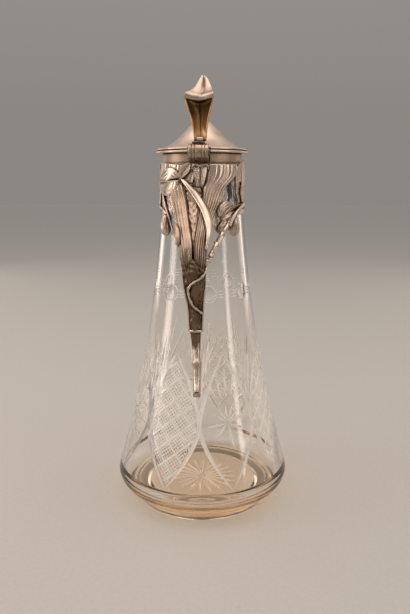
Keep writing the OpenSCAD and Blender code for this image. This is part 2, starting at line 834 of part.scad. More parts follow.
// A point beside the grip at height z, turned by t from its right side towards
// its front and standing off its surface.
function beside_grip(t, z, off) =
    let (g = grip_at(min(z, join_z)))
    [bow_r * sin(g[0]) + (g[1] + off) * cos(t), -bow_r + g[2] - (g[3] + off) * sin(t), z];

// Way of the vine over the grip: turn round it and height, from its right side
// down. The rows give the height as a share of the grip's length.
vine_way = [for (s = [
    [0, 0.05], [10, 0.12], [30, 0.186], [55, 0.245], [85, 0.292], [108, 0.34], [122, 0.4],
    [125, 0.46], [120, 0.535], [103, 0.62], [78, 0.67], [50, 0.715], [28, 0.745]
]) [s[0], mix(join_z, grip_z, s[1])]];

module vine() {
    r = stem_r;
    off = 1.25 * r + 2 * solder;
    way = [for (w = steps(vine_way, 24)) beside_grip(w[0], w[1], off)];
    start_z = bud_z + 9;
    neck = [
        around(36.5, seat_r(start_z) + r + 1, start_z),
        around(26, mix(root_r, bow_r, 0.24), mix(start_z, join_z, 0.28)),
        around(18.5, mix(root_r, bow_r, 0.5), mix(start_z, join_z, 0.5)),
        around(12.8, mix(root_r, bow_r, 0.74), mix(start_z, join_z, 0.75)),
        around(9.6, mix(root_r, bow_r, 0.92), mix(start_z, join_z, 0.92))
    ];
    p = concat(steps(concat(neck, [way[0]]), 10), [for (i = [1:24]) way[i]]);
    n = len(p) - 1;
    color(metal)
        loft([for (i = [0:n])
            let (
                along = unit(p[min(i + 1, n)] - p[max(i - 1, 0)]),
                across = unit(cross([0, -1, 0.3], along)),
                up = cross(along, across),
                w = r * (i == n ? 0.5 : i % 3 == 0 ? 1.2 : 1)
            )
            [for (k = [0:7]) p[i] + w * (across * cos(45 * k) + up * sin(45 * k))]
        ]);
}

// ---- Flowers on the neck ---------------------------------------------------

on_band = band_r + solder;

// Height at a share of the way from the band's lower edge down to the buds' tips.
function drop_z(share) = mix(band_z, bud_z, share);

// Rows of a leaf that lies on the band, wide in the middle of its height.
function band_leaf(a, w, top, bottom) = [for (s = [
    [0, 0.8, 0.75], [0.2, 1, 1], [0.5, 1.02, 1], [0.8, 0.9, 0.9], [1, 0.8, 0.6]
]) [mix(top, bottom, s[0]), a, w * s[1], on_band + leaf_t / 2, leaf_t / 2 * s[2]]];

module calyx() {
    color(dark_metal)
        casting([
            [step_z - 0.6, -1.5, 3, on_band + 1.5, 0.9],
            [step_z - 2.4, -1.5, 4, on_band + 2.1, 2],
            [step_z - 5, -1.5, 3.8, on_band + 1.6, 1.5],
            [step_z - 11, -1.5, 3.3, on_band + 1.2, 1.1],
            [step_z - 18.5, -2.5, 0.7, on_band + 0.6, 0.5]
        ], 10, 16, 0.1);
}

module bud(a) {
    color(metal)
        difference() {
            translate(around(a, glass_r(bud_z + bud_h / 2) + seat_gap + bud_r * 0.55, bud_z))
                rotate_extrude($fn = 48)
                    polygon([for (i = [0:12])
                        let (t = 180 * i / 12)
                        [i == 0 || i == 12 ? 0 : bud_r * sin(t) * (1 + 0.16 * cos(t)), bud_h / 2 * (1 - cos(t))]]);
            translate([0, 0, bud_z - 1])
                cylinder(
                    h = bud_h + 2,
                    r1 = glass_r(bud_z - 1) + seat_gap,
                    r2 = glass_r(bud_z + bud_h + 1) + seat_gap,
                    $fn = 128
                );
        }
}

bud_side = 47;     // angle of the buds beside the handle
bud_front = 143;   // angle of the buds beside the spout

module spray_right() {
    color(metal)
        union() {
            neck_stem([[76, band_z + 0.6 * band_h, 1.6, 0.8, 0.1], [78, drop_z(0.02), 1.7, 0.9, 0.3],
                [82, drop_z(0.27), 1.4, 0.9, 0], [84, drop_z(0.49), 1.2, 0.9, 0]], 8);
            neck_stem([[100, drop_z(0.32), 0.8, 0.7, 0.1], [90, drop_z(0.49), 1.8, 1, 0.1],
                [76, drop_z(0.53), 2.4, 1.1, 0.1], [60, drop_z(0.52), 2.6, 1.2, 0.1],
                [44, drop_z(0.555), 2.2, 1.1, 0.1], [33, drop_z(0.68), 1.6, 1, 0.1],
                [29, drop_z(0.82), 0.8, 0.8, 0.1]], 14);
            neck_stem([[40, drop_z(0.56), 1.2, 0.9, 0.6], [31, drop_z(0.49), 2.2, 1.3, 0.9],
                [25, drop_z(0.39), 1.4, 1, 0.6]], 6);
            neck_stem([[96, band_z + 0.67 * band_h, 2.4, 0.7, 0.1], [104, drop_z(0), 3.4, 0.8, 0.3],
                [110, drop_z(0.29), 2.4, 0.7, 0.1], [112, drop_z(0.56), 0.8, 0.5, 0.1]], 8);
        }
}

module spray_left() {
    color(metal)
        union() {
            casting(band_leaf(-42, flap_w, step_z - 0.6, band_z - 0.8), 8, 20, 0.08);
            neck_stem([for (s = [
                [-66, -0.05, 1], [-62, 0.19, 1], [-52, 0.43, 1], [-41, 0.67, 1], [-35, 0.86, 0.75]
            ]) [s[0], drop_z(s[1]), s[2] * stem_r, s[2] * stem_r, s[1] < 0 ? 0.3 : 0.1]], 12);
            neck_stem([[-76, band_z + 0.6 * band_h, 1.5, 0.8, 0.1], [-76, drop_z(0.02), 1.5, 0.9, 0.3],
                [-80, drop_z(0.32), 1.2, 0.9, 0], [-84, drop_z(0.51), 1.2, 0.9, 0]], 8);
            neck_stem([[-100, drop_z(0.32), 0.8, 0.7, 0.1], [-90, drop_z(0.49), 1.6, 1, 0.1],
                [-76, drop_z(0.54), 2, 1.1, 0.1], [-60, drop_z(0.54), 2, 1.1, 0.1],
                [-47, drop_z(0.58), 1.5, 1, 0.1]], 10);
            neck_stem([[-96, band_z + 0.67 * band_h, 2.4, 0.7, 0.1], [-104, drop_z(0), 3.4, 0.8, 0.3],
                [-110, drop_z(0.29), 2.4, 0.7, 0.1], [-112, drop_z(0.56), 0.8, 0.5, 0.1]], 8);
        }
}

// Leaf and stem beside the spout.
module spray_front_left() {
    color(metal)
        union() {
            casting(band_leaf(220, 10, step_z - 0.8, band_z - 1), 8, 16, 0.08);
            neck_stem([[218, drop_z(0.03), 1.6, 0.9, 0.5], [223, drop_z(0.19), 1.5, 1, 0.1],
                [221, drop_z(0.46), 1.2, 0.9, 0.1], [217, drop_z(0.58), 1, 0.9, 0.1]], 8);
        }
}

module spray_front_right() mirror([1, 0, 0]) spray_front_left();

// Tongue and hanging leaves under the spout.
module spray_front() {
    color(metal)
        union() {
            neck_stem([[146, drop_z(0.24), 0.6, 0.7, 0.1], [160, drop_z(0.37), 1.9, 1, 0.1],
                [180, drop_z(0.43), 2.8, 1.2, 0.1],
                [200, drop_z(0.37), 1.9, 1, 0.1], [214, drop_z(0.24), 0.6, 0.7, 0.1]], 18);
            neck_stem([[180, band_z + 3, 3.2, 0.8, 0.1], [180, drop_z(0.14), 2.4, 1, 0.3],
                [180, drop_z(0.35), 0.8, 0.8, 0.1]], 6);
        }
}

module bud_left() bud(-bud_side);
module bud_right() bud(bud_side);
module bud_front_left() bud(-bud_front);
module bud_front_right() bud(bud_front);

glass_body();
plaster_bed();
neck_band();
spout();
hinge_bracket();
hinge_pin();
lid_knuckles();
lid_cone();
lid_rim();
lid_bezel();
lid_beak();
thumb_trough();
thumb_petal();
thumb_curl();
stalk_left();
stalk_middle();
stalk_web();
leaf_right();
grip();
tail();
vine();
calyx();
spray_left();
spray_right();
spray_front();
spray_front_left();
spray_front_right();
bud_left();
bud_right();
bud_front_left();
bud_front_right();
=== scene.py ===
"""Looks of a claret jug: a flared cut-glass body in a cast and plated white-metal mount.

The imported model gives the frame. The glass is spun and then cut with wheels, the castings are
lofted and fluted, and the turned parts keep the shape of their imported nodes. Shapes are worked
out in millimetres and put into metres when they become objects. Angles go round the jug's axis
from the handle, to the right as the camera sees it, in degrees.
"""
import logging
import math
from dataclasses import dataclass, field
from enum import Enum
from typing import Iterable, Sequence

import bmesh
import bpy
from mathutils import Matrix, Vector, noise


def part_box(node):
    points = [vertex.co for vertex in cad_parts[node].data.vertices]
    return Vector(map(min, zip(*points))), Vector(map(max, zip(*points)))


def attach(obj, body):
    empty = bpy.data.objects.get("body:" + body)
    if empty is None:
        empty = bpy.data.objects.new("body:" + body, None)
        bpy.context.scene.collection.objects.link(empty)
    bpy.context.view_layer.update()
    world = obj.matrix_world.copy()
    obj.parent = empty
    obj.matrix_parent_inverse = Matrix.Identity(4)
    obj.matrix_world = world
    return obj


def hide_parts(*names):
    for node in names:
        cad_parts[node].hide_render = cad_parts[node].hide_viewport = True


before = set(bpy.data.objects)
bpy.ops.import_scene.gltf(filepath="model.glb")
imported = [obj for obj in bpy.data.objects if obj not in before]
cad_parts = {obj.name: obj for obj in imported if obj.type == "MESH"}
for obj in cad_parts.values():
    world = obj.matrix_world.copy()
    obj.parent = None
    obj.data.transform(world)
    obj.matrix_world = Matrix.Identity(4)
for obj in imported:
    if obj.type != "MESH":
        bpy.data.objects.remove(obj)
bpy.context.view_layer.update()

LOG = logging.getLogger("claret_jug")
MM = 0.001
JUG = "jug"
LID = "lid"
GROUND = "ground"  # face attribute of the glass: 1 where a wheel has cut it
RUN_OUT = 0.02  # mm by which a cut's ends stay over the glass, so that it runs out

Rows = Sequence[Sequence[float]]
Points = list[Vector]


class Slot(Enum):
    """The record's material slots."""

    GLASS = "cut_glass"
    METAL = "plated_metal"
    STEEL = "pin_steel"
    PLASTER = "plaster"


# ---- Shared geometry ---------------------------------------------------------


def mix(low: float, high: float, share: float) -> float:
    """The value that lies a share of the way from low to high."""
    return low + (high - low) * share


def around(angle: float, radius: float, height: float) -> Vector:
    """The point at an angle from the handle, a distance from the axis and a height."""
    turn = math.radians(angle)
    return Vector((radius * math.sin(turn), -radius * math.cos(turn), height))


def curve(rows: Rows, count: int) -> list[list[float]]:
    """Runs a smooth curve through rows of numbers.

    Args:
        rows: the rows that the curve passes through, each of the same length.
        count: how many even steps to take from the first row to the last.

    Returns:
        The count + 1 rows at those steps.
    """
    last = len(rows) - 1
    found = []
    for step in range(count + 1):
        way = step * last / count
        i = min(int(way), last - 1)
        f = way - i
        here, there = rows[i], rows[i + 1]
        before = rows[i - 1] if i > 0 else None
        after = rows[i + 2] if i < last - 1 else None
        row = []
        for k, (b, c) in enumerate(zip(here, there)):
            lean_in = (c - before[k]) / 2 if before else c - b
            lean_out = (after[k] - b) / 2 if after else c - b
            row.append(
                b * (1 - 3 * f * f + 2 * f**3) + c * (3 * f * f - 2 * f**3)
                + lean_in * (f - 2 * f * f + f**3) + lean_out * (f**3 - f * f)
            )
        found.append(row)
    return found


def heading(points: Points, i: int) -> Vector:
    """The direction of a line of points at one of them."""
    return (points[min(i + 1, len(points) - 1)] - points[max(i - 1, 0)]).normalized()


def skin(bm: bmesh.types.BMesh, rows: Sequence[Points], closed: bool = True) -> None:
    """Skins rows of points by extruding the first row along the others.

    The vertices get two attributes for patterns: "span" runs from -1 to 1 across a row and "along"
    from 0 to 1 over the rows.

    Args:
        bm: the mesh that gets the skin.
        rows: rows with as many points each. Points at the same place in two rows belong together.
        closed: whether each row is a ring. The rings at either end are then filled.
    """
    place = bm.verts.layers.int.get("place") or bm.verts.layers.int.new("place")
    span = bm.verts.layers.float.get("span") or bm.verts.layers.float.new("span")
    along = bm.verts.layers.float.get("along") or bm.verts.layers.float.new("along")
    count = len(rows[0])
    verts = [bm.verts.new(point) for point in rows[0]]
    for i, vert in enumerate(verts):
        vert[place] = i
        vert[span] = math.cos(2 * math.pi * i / count) if closed else 2 * i / (count - 1) - 1
    pairs = zip(verts, verts[1:] + verts[:1]) if closed else zip(verts, verts[1:])
    edges = [bm.edges.new(pair) for pair in pairs]
    ends = [edges]
    for number, row in enumerate(rows[1:], 1):
        made = bmesh.ops.extrude_edge_only(bm, edges=edges)["geom"]
        ring = {item for item in made if isinstance(item, bmesh.types.BMVert)}
        edges = [
            item for item in made
            if isinstance(item, bmesh.types.BMEdge) and set(item.verts) <= ring
        ]
        for vert in ring:
            vert.co = row[vert[place]]
            vert[along] = number / (len(rows) - 1)
    ends.append(edges)
    if closed:
        for edges in ends:
            bmesh.ops.contextual_create(bm, geom=edges)


def make_object(bm: bmesh.types.BMesh, name: str, recalculate: bool = True) -> bpy.types.Object:
    """Turns a mesh in millimetres into an object in metres at the origin.

    Args:
        bm: the mesh, which is freed.
        name: the object's name.
        recalculate: whether the normals are turned outwards.

    Returns:
        The object, shaded smooth.
    """
    if recalculate:
        bmesh.ops.recalc_face_normals(bm, faces=bm.faces)
    bmesh.ops.scale(bm, vec=(MM, MM, MM), verts=bm.verts)
    for face in bm.faces:
        face.smooth = True
    mesh = bpy.data.meshes.new(name)
    bm.to_mesh(mesh)
    bm.free()
    made = bpy.data.objects.new(name, mesh)
    bpy.context.scene.collection.objects.link(made)
    return made


def sharpen(mesh: bpy.types.Mesh, angle: float) -> None:
    """Marks the edges that turn by more than an angle, in degrees, as sharp."""
    bm = bmesh.new()
    bm.from_mesh(mesh)
    limit = math.radians(angle)
    for edge in bm.edges:
        edge.smooth = len(edge.link_faces) == 2 and edge.calc_face_angle(0.0) < limit
    bm.to_mesh(mesh)
    bm.free()


def spin_profile(
    points: Iterable[Sequence[float]], steps: int, closed: bool = True,
    centre: tuple[float, float, float] = (0.0, 0.0, 0.0), axis: tuple[float, float, float] = (0.0, 0.0, 1.0),
) -> bmesh.types.BMesh:
    """Spins a profile a full turn.

    Args:
        points: the profile's points.
        steps: faces in a full turn.
        closed: whether the last point joins the first.
        centre: a point of the axis.
        axis: the axis's direction.

    Returns:
        The mesh.
    """
    bm = bmesh.new()
    verts = [bm.verts.new(point) for point in points]
    pairs = zip(verts, verts[1:] + verts[:1]) if closed else zip(verts, verts[1:])
    edges = [bm.edges.new(pair) for pair in pairs]
    bmesh.ops.spin(
        bm, geom=verts + edges, cent=centre, axis=axis, angle=2 * math.pi, steps=steps, use_merge=True,
    )
    return bm


def thicken(piece: bpy.types.Object, thickness: float, side: float = 1.0) -> None:
    """Gives a sheet a wall and rounds its edges.

    Args:
        piece: the sheet.
        thickness: the wall's thickness, in mm.
        side: 1 for a wall on the side that the faces point to, -1 for one on the other side.
    """
    wall = piece.modifiers.new("wall", "SOLIDIFY")
    wall.thickness = thickness * MM
    wall.offset = side
    rounding = piece.modifiers.new("rounded edges", "SUBSURF")
    rounding.levels = 1
    rounding.render_levels = 1


def apply_modifiers(piece: bpy.types.Object) -> None:
    """Puts the result of a piece's modifiers into its mesh."""
    bpy.context.view_layer.update()
    depsgraph = bpy.context.evaluated_depsgraph_get()
    mesh = bpy.data.meshes.new_from_object(piece.evaluated_get(depsgraph), depsgraph=depsgraph)
    piece.modifiers.clear()
    piece.data = mesh


def cut_out(piece: bpy.types.Object, tool: bpy.types.Object) -> None:
    """Cuts a closed tool out of a closed piece, and removes the tool."""
    modifier = piece.modifiers.new(tool.name, "BOOLEAN")
    modifier.operation = "DIFFERENCE"
    modifier.solver = "MANIFOLD"
    modifier.object = tool
    apply_modifiers(piece)
    bpy.data.objects.remove(tool)


def report(piece: bpy.types.Object) -> None:
    """Logs a finished piece."""
    LOG.info("%s: %d faces", piece.name, len(piece.data.polygons))


# ---- Finishes ----------------------------------------------------------------


def srgb(code: str) -> tuple[float, float, float, float]:
    """Turns an sRGB hex value such as "#b8aa9e" into a linear colour."""
    channels = [int(code[i:i + 2], 16) / 255 for i in (1, 3, 5)]
    linear = [c / 12.92 if c <= 0.04045 else ((c + 0.055) / 1.055) ** 2.4 for c in channels]
    return (*linear, 1.0)


def add_node(tree: bpy.types.NodeTree, kind: str, **settings: object) -> bpy.types.Node:
    """Adds a node.

    Args:
        tree: the tree that gets it.
        kind: the node's type, such as "ShaderNodeTexNoise".
        settings: attributes of the node by name, and inputs by name with spaces as underscores.
            An input given a socket is linked to it.

    Returns:
        The node.
    """
    node = tree.nodes.new(kind)
    inputs = {}
    for name, value in settings.items():
        if hasattr(node, name) and name != "inputs":
            setattr(node, name, value)
        else:
            inputs[name] = value
    for name, value in inputs.items():
        key = int(name[1:]) if name[0] == "_" else name.replace("_", " ")
        socket = node.inputs[key]
        if isinstance(value, bpy.types.NodeSocket):
            tree.links.new(value, socket)
        else:
            socket.default_value = value
    return node


def ramp(
    tree: bpy.types.NodeTree, value: bpy.types.NodeSocket, stops: dict[float, str],
) -> bpy.types.NodeSocket:
    """Adds a colour ramp.

    Args:
        tree: the tree that gets it.
        value: the socket that drives it.
        stops: hex colours by their place on the ramp, two or more.

    Returns:
        The ramp's colour.
    """
    node = add_node(tree, "ShaderNodeValToRGB", Fac=value)
    elements = node.color_ramp.elements
    places = sorted(stops)
    while len(elements) < len(places):
        elements.new(0.5)
    for element, place in zip(elements, places):
        element.position = place
        element.color = srgb(stops[place])
    return node.outputs["Color"]


def new_material(name: str) -> tuple[bpy.types.Material, bpy.types.NodeTree, bpy.types.Node]:
    """Makes an empty material and returns it with its tree and its output node."""
    material = bpy.data.materials.new(name)
    material.use_nodes = True
    material.node_tree.nodes.clear()
    return material, material.node_tree, material.node_tree.nodes.new("ShaderNodeOutputMaterial")


def per_metre(size_mm: float) -> float:
    """The scale at which a noise on Object coordinates has features of a size in mm."""
    return 1000 / size_mm


@dataclass(frozen=True)
class Plate:
    """Worn silver plate on white metal, the ground of every metal finish of the mount.

    The raised parts are rubbed to a soft sheen. Brown tarnish stays in the recesses and lies over
    the rest in faint clouds.

    Args:
        bright: colour where the plate is rubbed bright.
        worn: colour where it is half rubbed.
        tarnish: colour in the recesses.
        hollow_mm: width of the recesses that keep their tarnish.
        cloud_mm: size of the clouds of tarnish.
        roughness: roughness where it is half rubbed.
        cloud_detail: finer turns of the clouds.
        cloud_roughness: how strong those turns are.
        recess: openness, from 0 to 1, up to which a place keeps all its tarnish.
        raised: openness from which on a place has none.
        cloud_dims: what a dense cloud takes from the rub.
        cloud_lifts: what a clear place adds to it.
        worn_at: the share of rub that the worn colour stands for.
    """

    name: str
    bright: str
    worn: str
    tarnish: str
    hollow_mm: float
    cloud_mm: float
    roughness: float
    cloud_detail: float
    cloud_roughness: float
    recess: float
    raised: float
    cloud_dims: float
    cloud_lifts: float
    worn_at: float

    def wear(self, tree: bpy.types.NodeTree) -> tuple[bpy.types.NodeSocket, bpy.types.NodeSocket]:
        """Adds the wear, and returns the clouds and how far the surface is rubbed, from 0 to 1."""
        place = add_node(tree, "ShaderNodeTexCoord").outputs["Object"]
        clouds = add_node(
            tree, "ShaderNodeTexNoise", Vector=place, Scale=per_metre(self.cloud_mm),
            Detail=self.cloud_detail, Roughness=self.cloud_roughness,
        ).outputs["Fac"]
        openness = add_node(
            tree, "ShaderNodeAmbientOcclusion", samples=8, only_local=False, Distance=self.hollow_mm * MM,
        ).outputs["AO"]
        open_share = add_node(
            tree, "ShaderNodeMapRange", Value=openness, From_Min=self.recess, From_Max=self.raised,
            To_Min=0.0, To_Max=1.0,
        ).outputs["Result"]
        cloud_share = add_node(
            tree, "ShaderNodeMapRange", Value=clouds, From_Min=0.3, From_Max=0.7,
            To_Min=self.cloud_dims, To_Max=self.cloud_lifts,
        ).outputs["Result"]
        rubbed = add_node(
            tree, "ShaderNodeMath", operation="ADD", use_clamp=True, _0=open_share, _1=cloud_share,
        ).outputs[0]
        return clouds, rubbed

    def metal(
        self, tree: bpy.types.NodeTree, rubbed: bpy.types.NodeSocket, rough: bpy.types.NodeSocket,
        normal: bpy.types.NodeSocket,
    ) -> bpy.types.NodeSocket:
        """Adds the metal's shader, coloured by how far it is rubbed."""
        colour = ramp(tree, rubbed, {0.0: self.tarnish, self.worn_at: self.worn, 1.0: self.bright})
        return add_node(
            tree, "ShaderNodeBsdfPrincipled", Base_Color=colour, Metallic=1.0, Roughness=rough,
            Normal=normal,
        ).outputs[0]


@dataclass(frozen=True)
class PlatedCasting(Plate):
    """Silver-plated white metal, cast and hand finished, with a satin sheen and a fine cast grain.

    The grain is coarser than the real one, so that it shows. A leaf has veins across it as well.

    Args:
        grain_mm: size of the grain.
        grain_depth_mm: its depth.
        vein_count: veins from edge to edge of a leaf, or 0.
        vein_height: how high a vein stands for each depth of grain.
    """

    name: str = "silver_plated_casting"
    bright: str = "#cfbeb0"
    worn: str = "#978373"
    tarnish: str = "#3b2a1e"
    hollow_mm: float = 3.0
    cloud_mm: float = 14.0
    roughness: float = 0.3
    cloud_detail: float = 5.0
    cloud_roughness: float = 0.6
    recess: float = 0.4
    raised: float = 1.0
    cloud_dims: float = -0.28
    cloud_lifts: float = 0.14
    worn_at: float = 0.55
    grain_mm: float = 0.9
    grain_depth_mm: float = 0.05
    vein_count: float = 0.0
    vein_height: float = 2.2

    def build(self) -> bpy.types.Material:
        """Builds the material."""
        material, tree, output = new_material(self.name)
        clouds, rubbed = self.wear(tree)
        place = add_node(tree, "ShaderNodeTexCoord").outputs["Object"]
        height = add_node(
            tree, "ShaderNodeTexNoise", Vector=place, Scale=per_metre(self.grain_mm), Detail=3.0,
            Roughness=0.55,
        ).outputs["Fac"]
        if self.vein_count:
            span = add_node(tree, "ShaderNodeAttribute", attribute_name="span").outputs["Fac"]
            turn = add_node(
                tree, "ShaderNodeMath", operation="MULTIPLY", _0=span, _1=self.vein_count * math.pi,
            ).outputs[0]
            wavy = add_node(
                tree, "ShaderNodeMath", operation="MULTIPLY_ADD", _0=clouds, _1=3.0, _2=turn,
            ).outputs[0]
            veins = add_node(tree, "ShaderNodeMath", operation="COSINE", _0=wavy).outputs[0]
            height = add_node(
                tree, "ShaderNodeMath", operation="MULTIPLY_ADD", _0=veins, _1=self.vein_height, _2=height,
            ).outputs[0]
        rough = add_node(
            tree, "ShaderNodeMapRange", Value=rubbed, From_Min=0.0, From_Max=1.0,
            To_Min=self.roughness + 0.22, To_Max=self.roughness - 0.04,
        ).outputs["Result"]
        bump = add_node(
            tree, "ShaderNodeBump", Strength=0.6, Distance=self.grain_depth_mm * MM, Height=height,
        ).outputs["Normal"]
        tree.links.new(self.metal(tree, rubbed, rough, bump), output.inputs["Surface"])
        return material


@dataclass(frozen=True)
class TurnedPlate(Plate):
    """The same plate on turned and spun parts: rings from the lathe under a soft polish.

    The rings are coarser than the real ones, so that they show.

    Args:
        ring_mm: width of the rings.
        ring_depth_mm: their depth.
    """

    name: str = "silver_plated_turned"
    bright: str = "#dcc8ba"
    worn: str = "#ac9586"
    tarnish: str = "#4d3a2d"
    hollow_mm: float = 2.2
    cloud_mm: float = 11.0
    roughness: float = 0.34
    cloud_detail: float = 6.0
    cloud_roughness: float = 0.62
    recess: float = 0.3
    raised: float = 0.9
    cloud_dims: float = -0.3
    cloud_lifts: float = 0.12
    worn_at: float = 0.5
    ring_mm: float = 0.55
    ring_depth_mm: float = 0.02

    def build(self) -> bpy.types.Material:
        """Builds the material."""
        material, tree, output = new_material(self.name)
        _, rubbed = self.wear(tree)
        place = add_node(tree, "ShaderNodeTexCoord").outputs["Object"]
        parts = add_node(tree, "ShaderNodeSeparateXYZ", Vector=place)
        level = add_node(tree, "ShaderNodeCombineXYZ", Z=parts.outputs["Z"]).outputs[0]
        rings = add_node(
            tree, "ShaderNodeTexNoise", Vector=level, Scale=per_metre(self.ring_mm), Detail=4.0,
            Roughness=0.7,
        ).outputs["Fac"]
        rough = add_node(
            tree, "ShaderNodeMapRange", Value=rings, From_Min=0.3, From_Max=0.7,
            To_Min=self.roughness - 0.05, To_Max=self.roughness + 0.1,
        ).outputs["Result"]
        bump = add_node(
            tree, "ShaderNodeBump", Strength=0.5, Distance=self.ring_depth_mm * MM, Height=rings,
        ).outputs["Normal"]
        tree.links.new(self.metal(tree, rubbed, rough, bump), output.inputs["Surface"])
        return material


@dataclass(frozen=True)
class FlintGlass:
    """Old soda-lime glass, blown and polished: clear, with a straw tint where it is thick.

    Its cuts were ground by a wheel and polished less than the rest, so they look frosted.

    Args:
        tint: linear colour of white light after it has passed through the body.
        density: how fast the body takes on the tint, for each metre.
        cut_roughness: roughness of a cut.
        cut_frost: share of the light that a cut scatters instead of letting it pass.
        let_through: colour of the light that a lamp sends through the glass.
        wave_mm: distance between the faint waves of the blown surface.
        wave_depth_mm: their depth.
    """

    name: str = "polished_flint_glass"
    tint: tuple[float, float, float] = (0.99, 0.85, 0.65)
    density: float = 24.0
    cut_roughness: float = 0.42
    cut_frost: float = 0.32
    let_through: str = "#f8f5f1"
    wave_mm: float = 30.0
    wave_depth_mm: float = 0.2

    def build(self) -> bpy.types.Material:
        """Builds the material."""
        material, tree, output = new_material(self.name)
        place = add_node(tree, "ShaderNodeTexCoord").outputs["Object"]
        waves = add_node(
            tree, "ShaderNodeTexNoise", Vector=place, Scale=per_metre(self.wave_mm), Detail=1.0,
        ).outputs["Fac"]
        bump = add_node(
            tree, "ShaderNodeBump", Strength=0.2, Distance=self.wave_depth_mm * MM, Height=waves,
        ).outputs["Normal"]
        ground = add_node(tree, "ShaderNodeAttribute", attribute_name=GROUND).outputs["Fac"]
        rough = add_node(
            tree, "ShaderNodeMath", operation="MULTIPLY", _0=ground, _1=self.cut_roughness,
        ).outputs[0]
        clarity = add_node(
            tree, "ShaderNodeMapRange", Value=ground, From_Min=0.0, From_Max=1.0, To_Min=1.0,
            To_Max=1.0 - self.cut_frost,
        ).outputs["Result"]
        shader = add_node(
            tree, "ShaderNodeBsdfPrincipled", Base_Color=srgb("#ffffff"), Roughness=rough, IOR=1.52,
            Transmission_Weight=clarity, Normal=bump,
        )
        body = add_node(tree, "ShaderNodeVolumeAbsorption", Color=(*self.tint, 1.0), Density=self.density)
        clear = add_node(tree, "ShaderNodeBsdfTransparent", Color=srgb(self.let_through))
        lamp_ray = add_node(tree, "ShaderNodeLightPath").outputs["Is Shadow Ray"]
        surface = add_node(
            tree, "ShaderNodeMixShader", _0=lamp_ray, _1=shader.outputs[0], _2=clear.outputs[0],
        )
        tree.links.new(surface.outputs[0], output.inputs["Surface"])
        tree.links.new(body.outputs[0], output.inputs["Volume"])
        return material


@dataclass(frozen=True)
class TwoTone:
    """A plain finish whose two tones lie in fine specks.

    Args:
        pale: the paler tone.
        dark: the darker tone.
        speck_mm: size of the specks.
        roughness: how matt it is.
        ior: its index of refraction.
        detail: finer turns of the specks.
        metallic: 1 for a metal.
        squeeze: scale of the specks' pattern along x, y and z. A small one draws them out.
    """

    name: str
    pale: str
    dark: str
    speck_mm: float
    roughness: float
    ior: float = 1.5
    detail: float = 4.0
    metallic: float = 0.0
    squeeze: tuple[float, float, float] = (1.0, 1.0, 1.0)

    def build(self) -> bpy.types.Material:
        """Builds the material."""
        material, tree, output = new_material(self.name)
        place = add_node(tree, "ShaderNodeTexCoord").outputs["Object"]
        drawn = add_node(tree, "ShaderNodeMapping", Vector=place, Scale=self.squeeze).outputs[0]
        specks = add_node(
            tree, "ShaderNodeTexNoise", Vector=drawn, Scale=per_metre(self.speck_mm), Detail=self.detail,
        ).outputs["Fac"]
        colour = ramp(tree, specks, {0.3: self.dark, 0.7: self.pale})
        shader = add_node(
            tree, "ShaderNodeBsdfPrincipled", Base_Color=colour, Metallic=self.metallic,
            Roughness=self.roughness, IOR=self.ior,
        )
        tree.links.new(shader.outputs[0], output.inputs["Surface"])
        return material


@dataclass(frozen=True)
class PlasterOfParis(TwoTone):
    """Set plaster between the glass and the band: chalky, off-white and slightly mottled."""

    name: str = "plaster_of_paris"
    pale: str = "#e4dccb"
    dark: str = "#c9bda6"
    speck_mm: float = 1.5
    roughness: float = 0.9


@dataclass(frozen=True)
class DrawnSteel(TwoTone):
    """Drawn steel wire of the hinge pin: grey, with streaks along its length."""

    name: str = "drawn_steel_wire"
    pale: str = "#a39a92"
    dark: str = "#6d625a"
    speck_mm: float = 0.4
    roughness: float = 0.32
    detail: float = 3.0
    metallic: float = 1.0
    squeeze: tuple[float, float, float] = (0.08, 1.0, 1.0)


@dataclass(frozen=True)
class MattPaper(TwoTone):
    """The paper sweep under the jug, with fibres that are just seen."""

    name: str = "matt_paper_sweep"
    pale: str = "#c8c3bc"
    dark: str = "#c4beb7"
    speck_mm: float = 3.0
    roughness: float = 0.85
    ior: float = 1.45


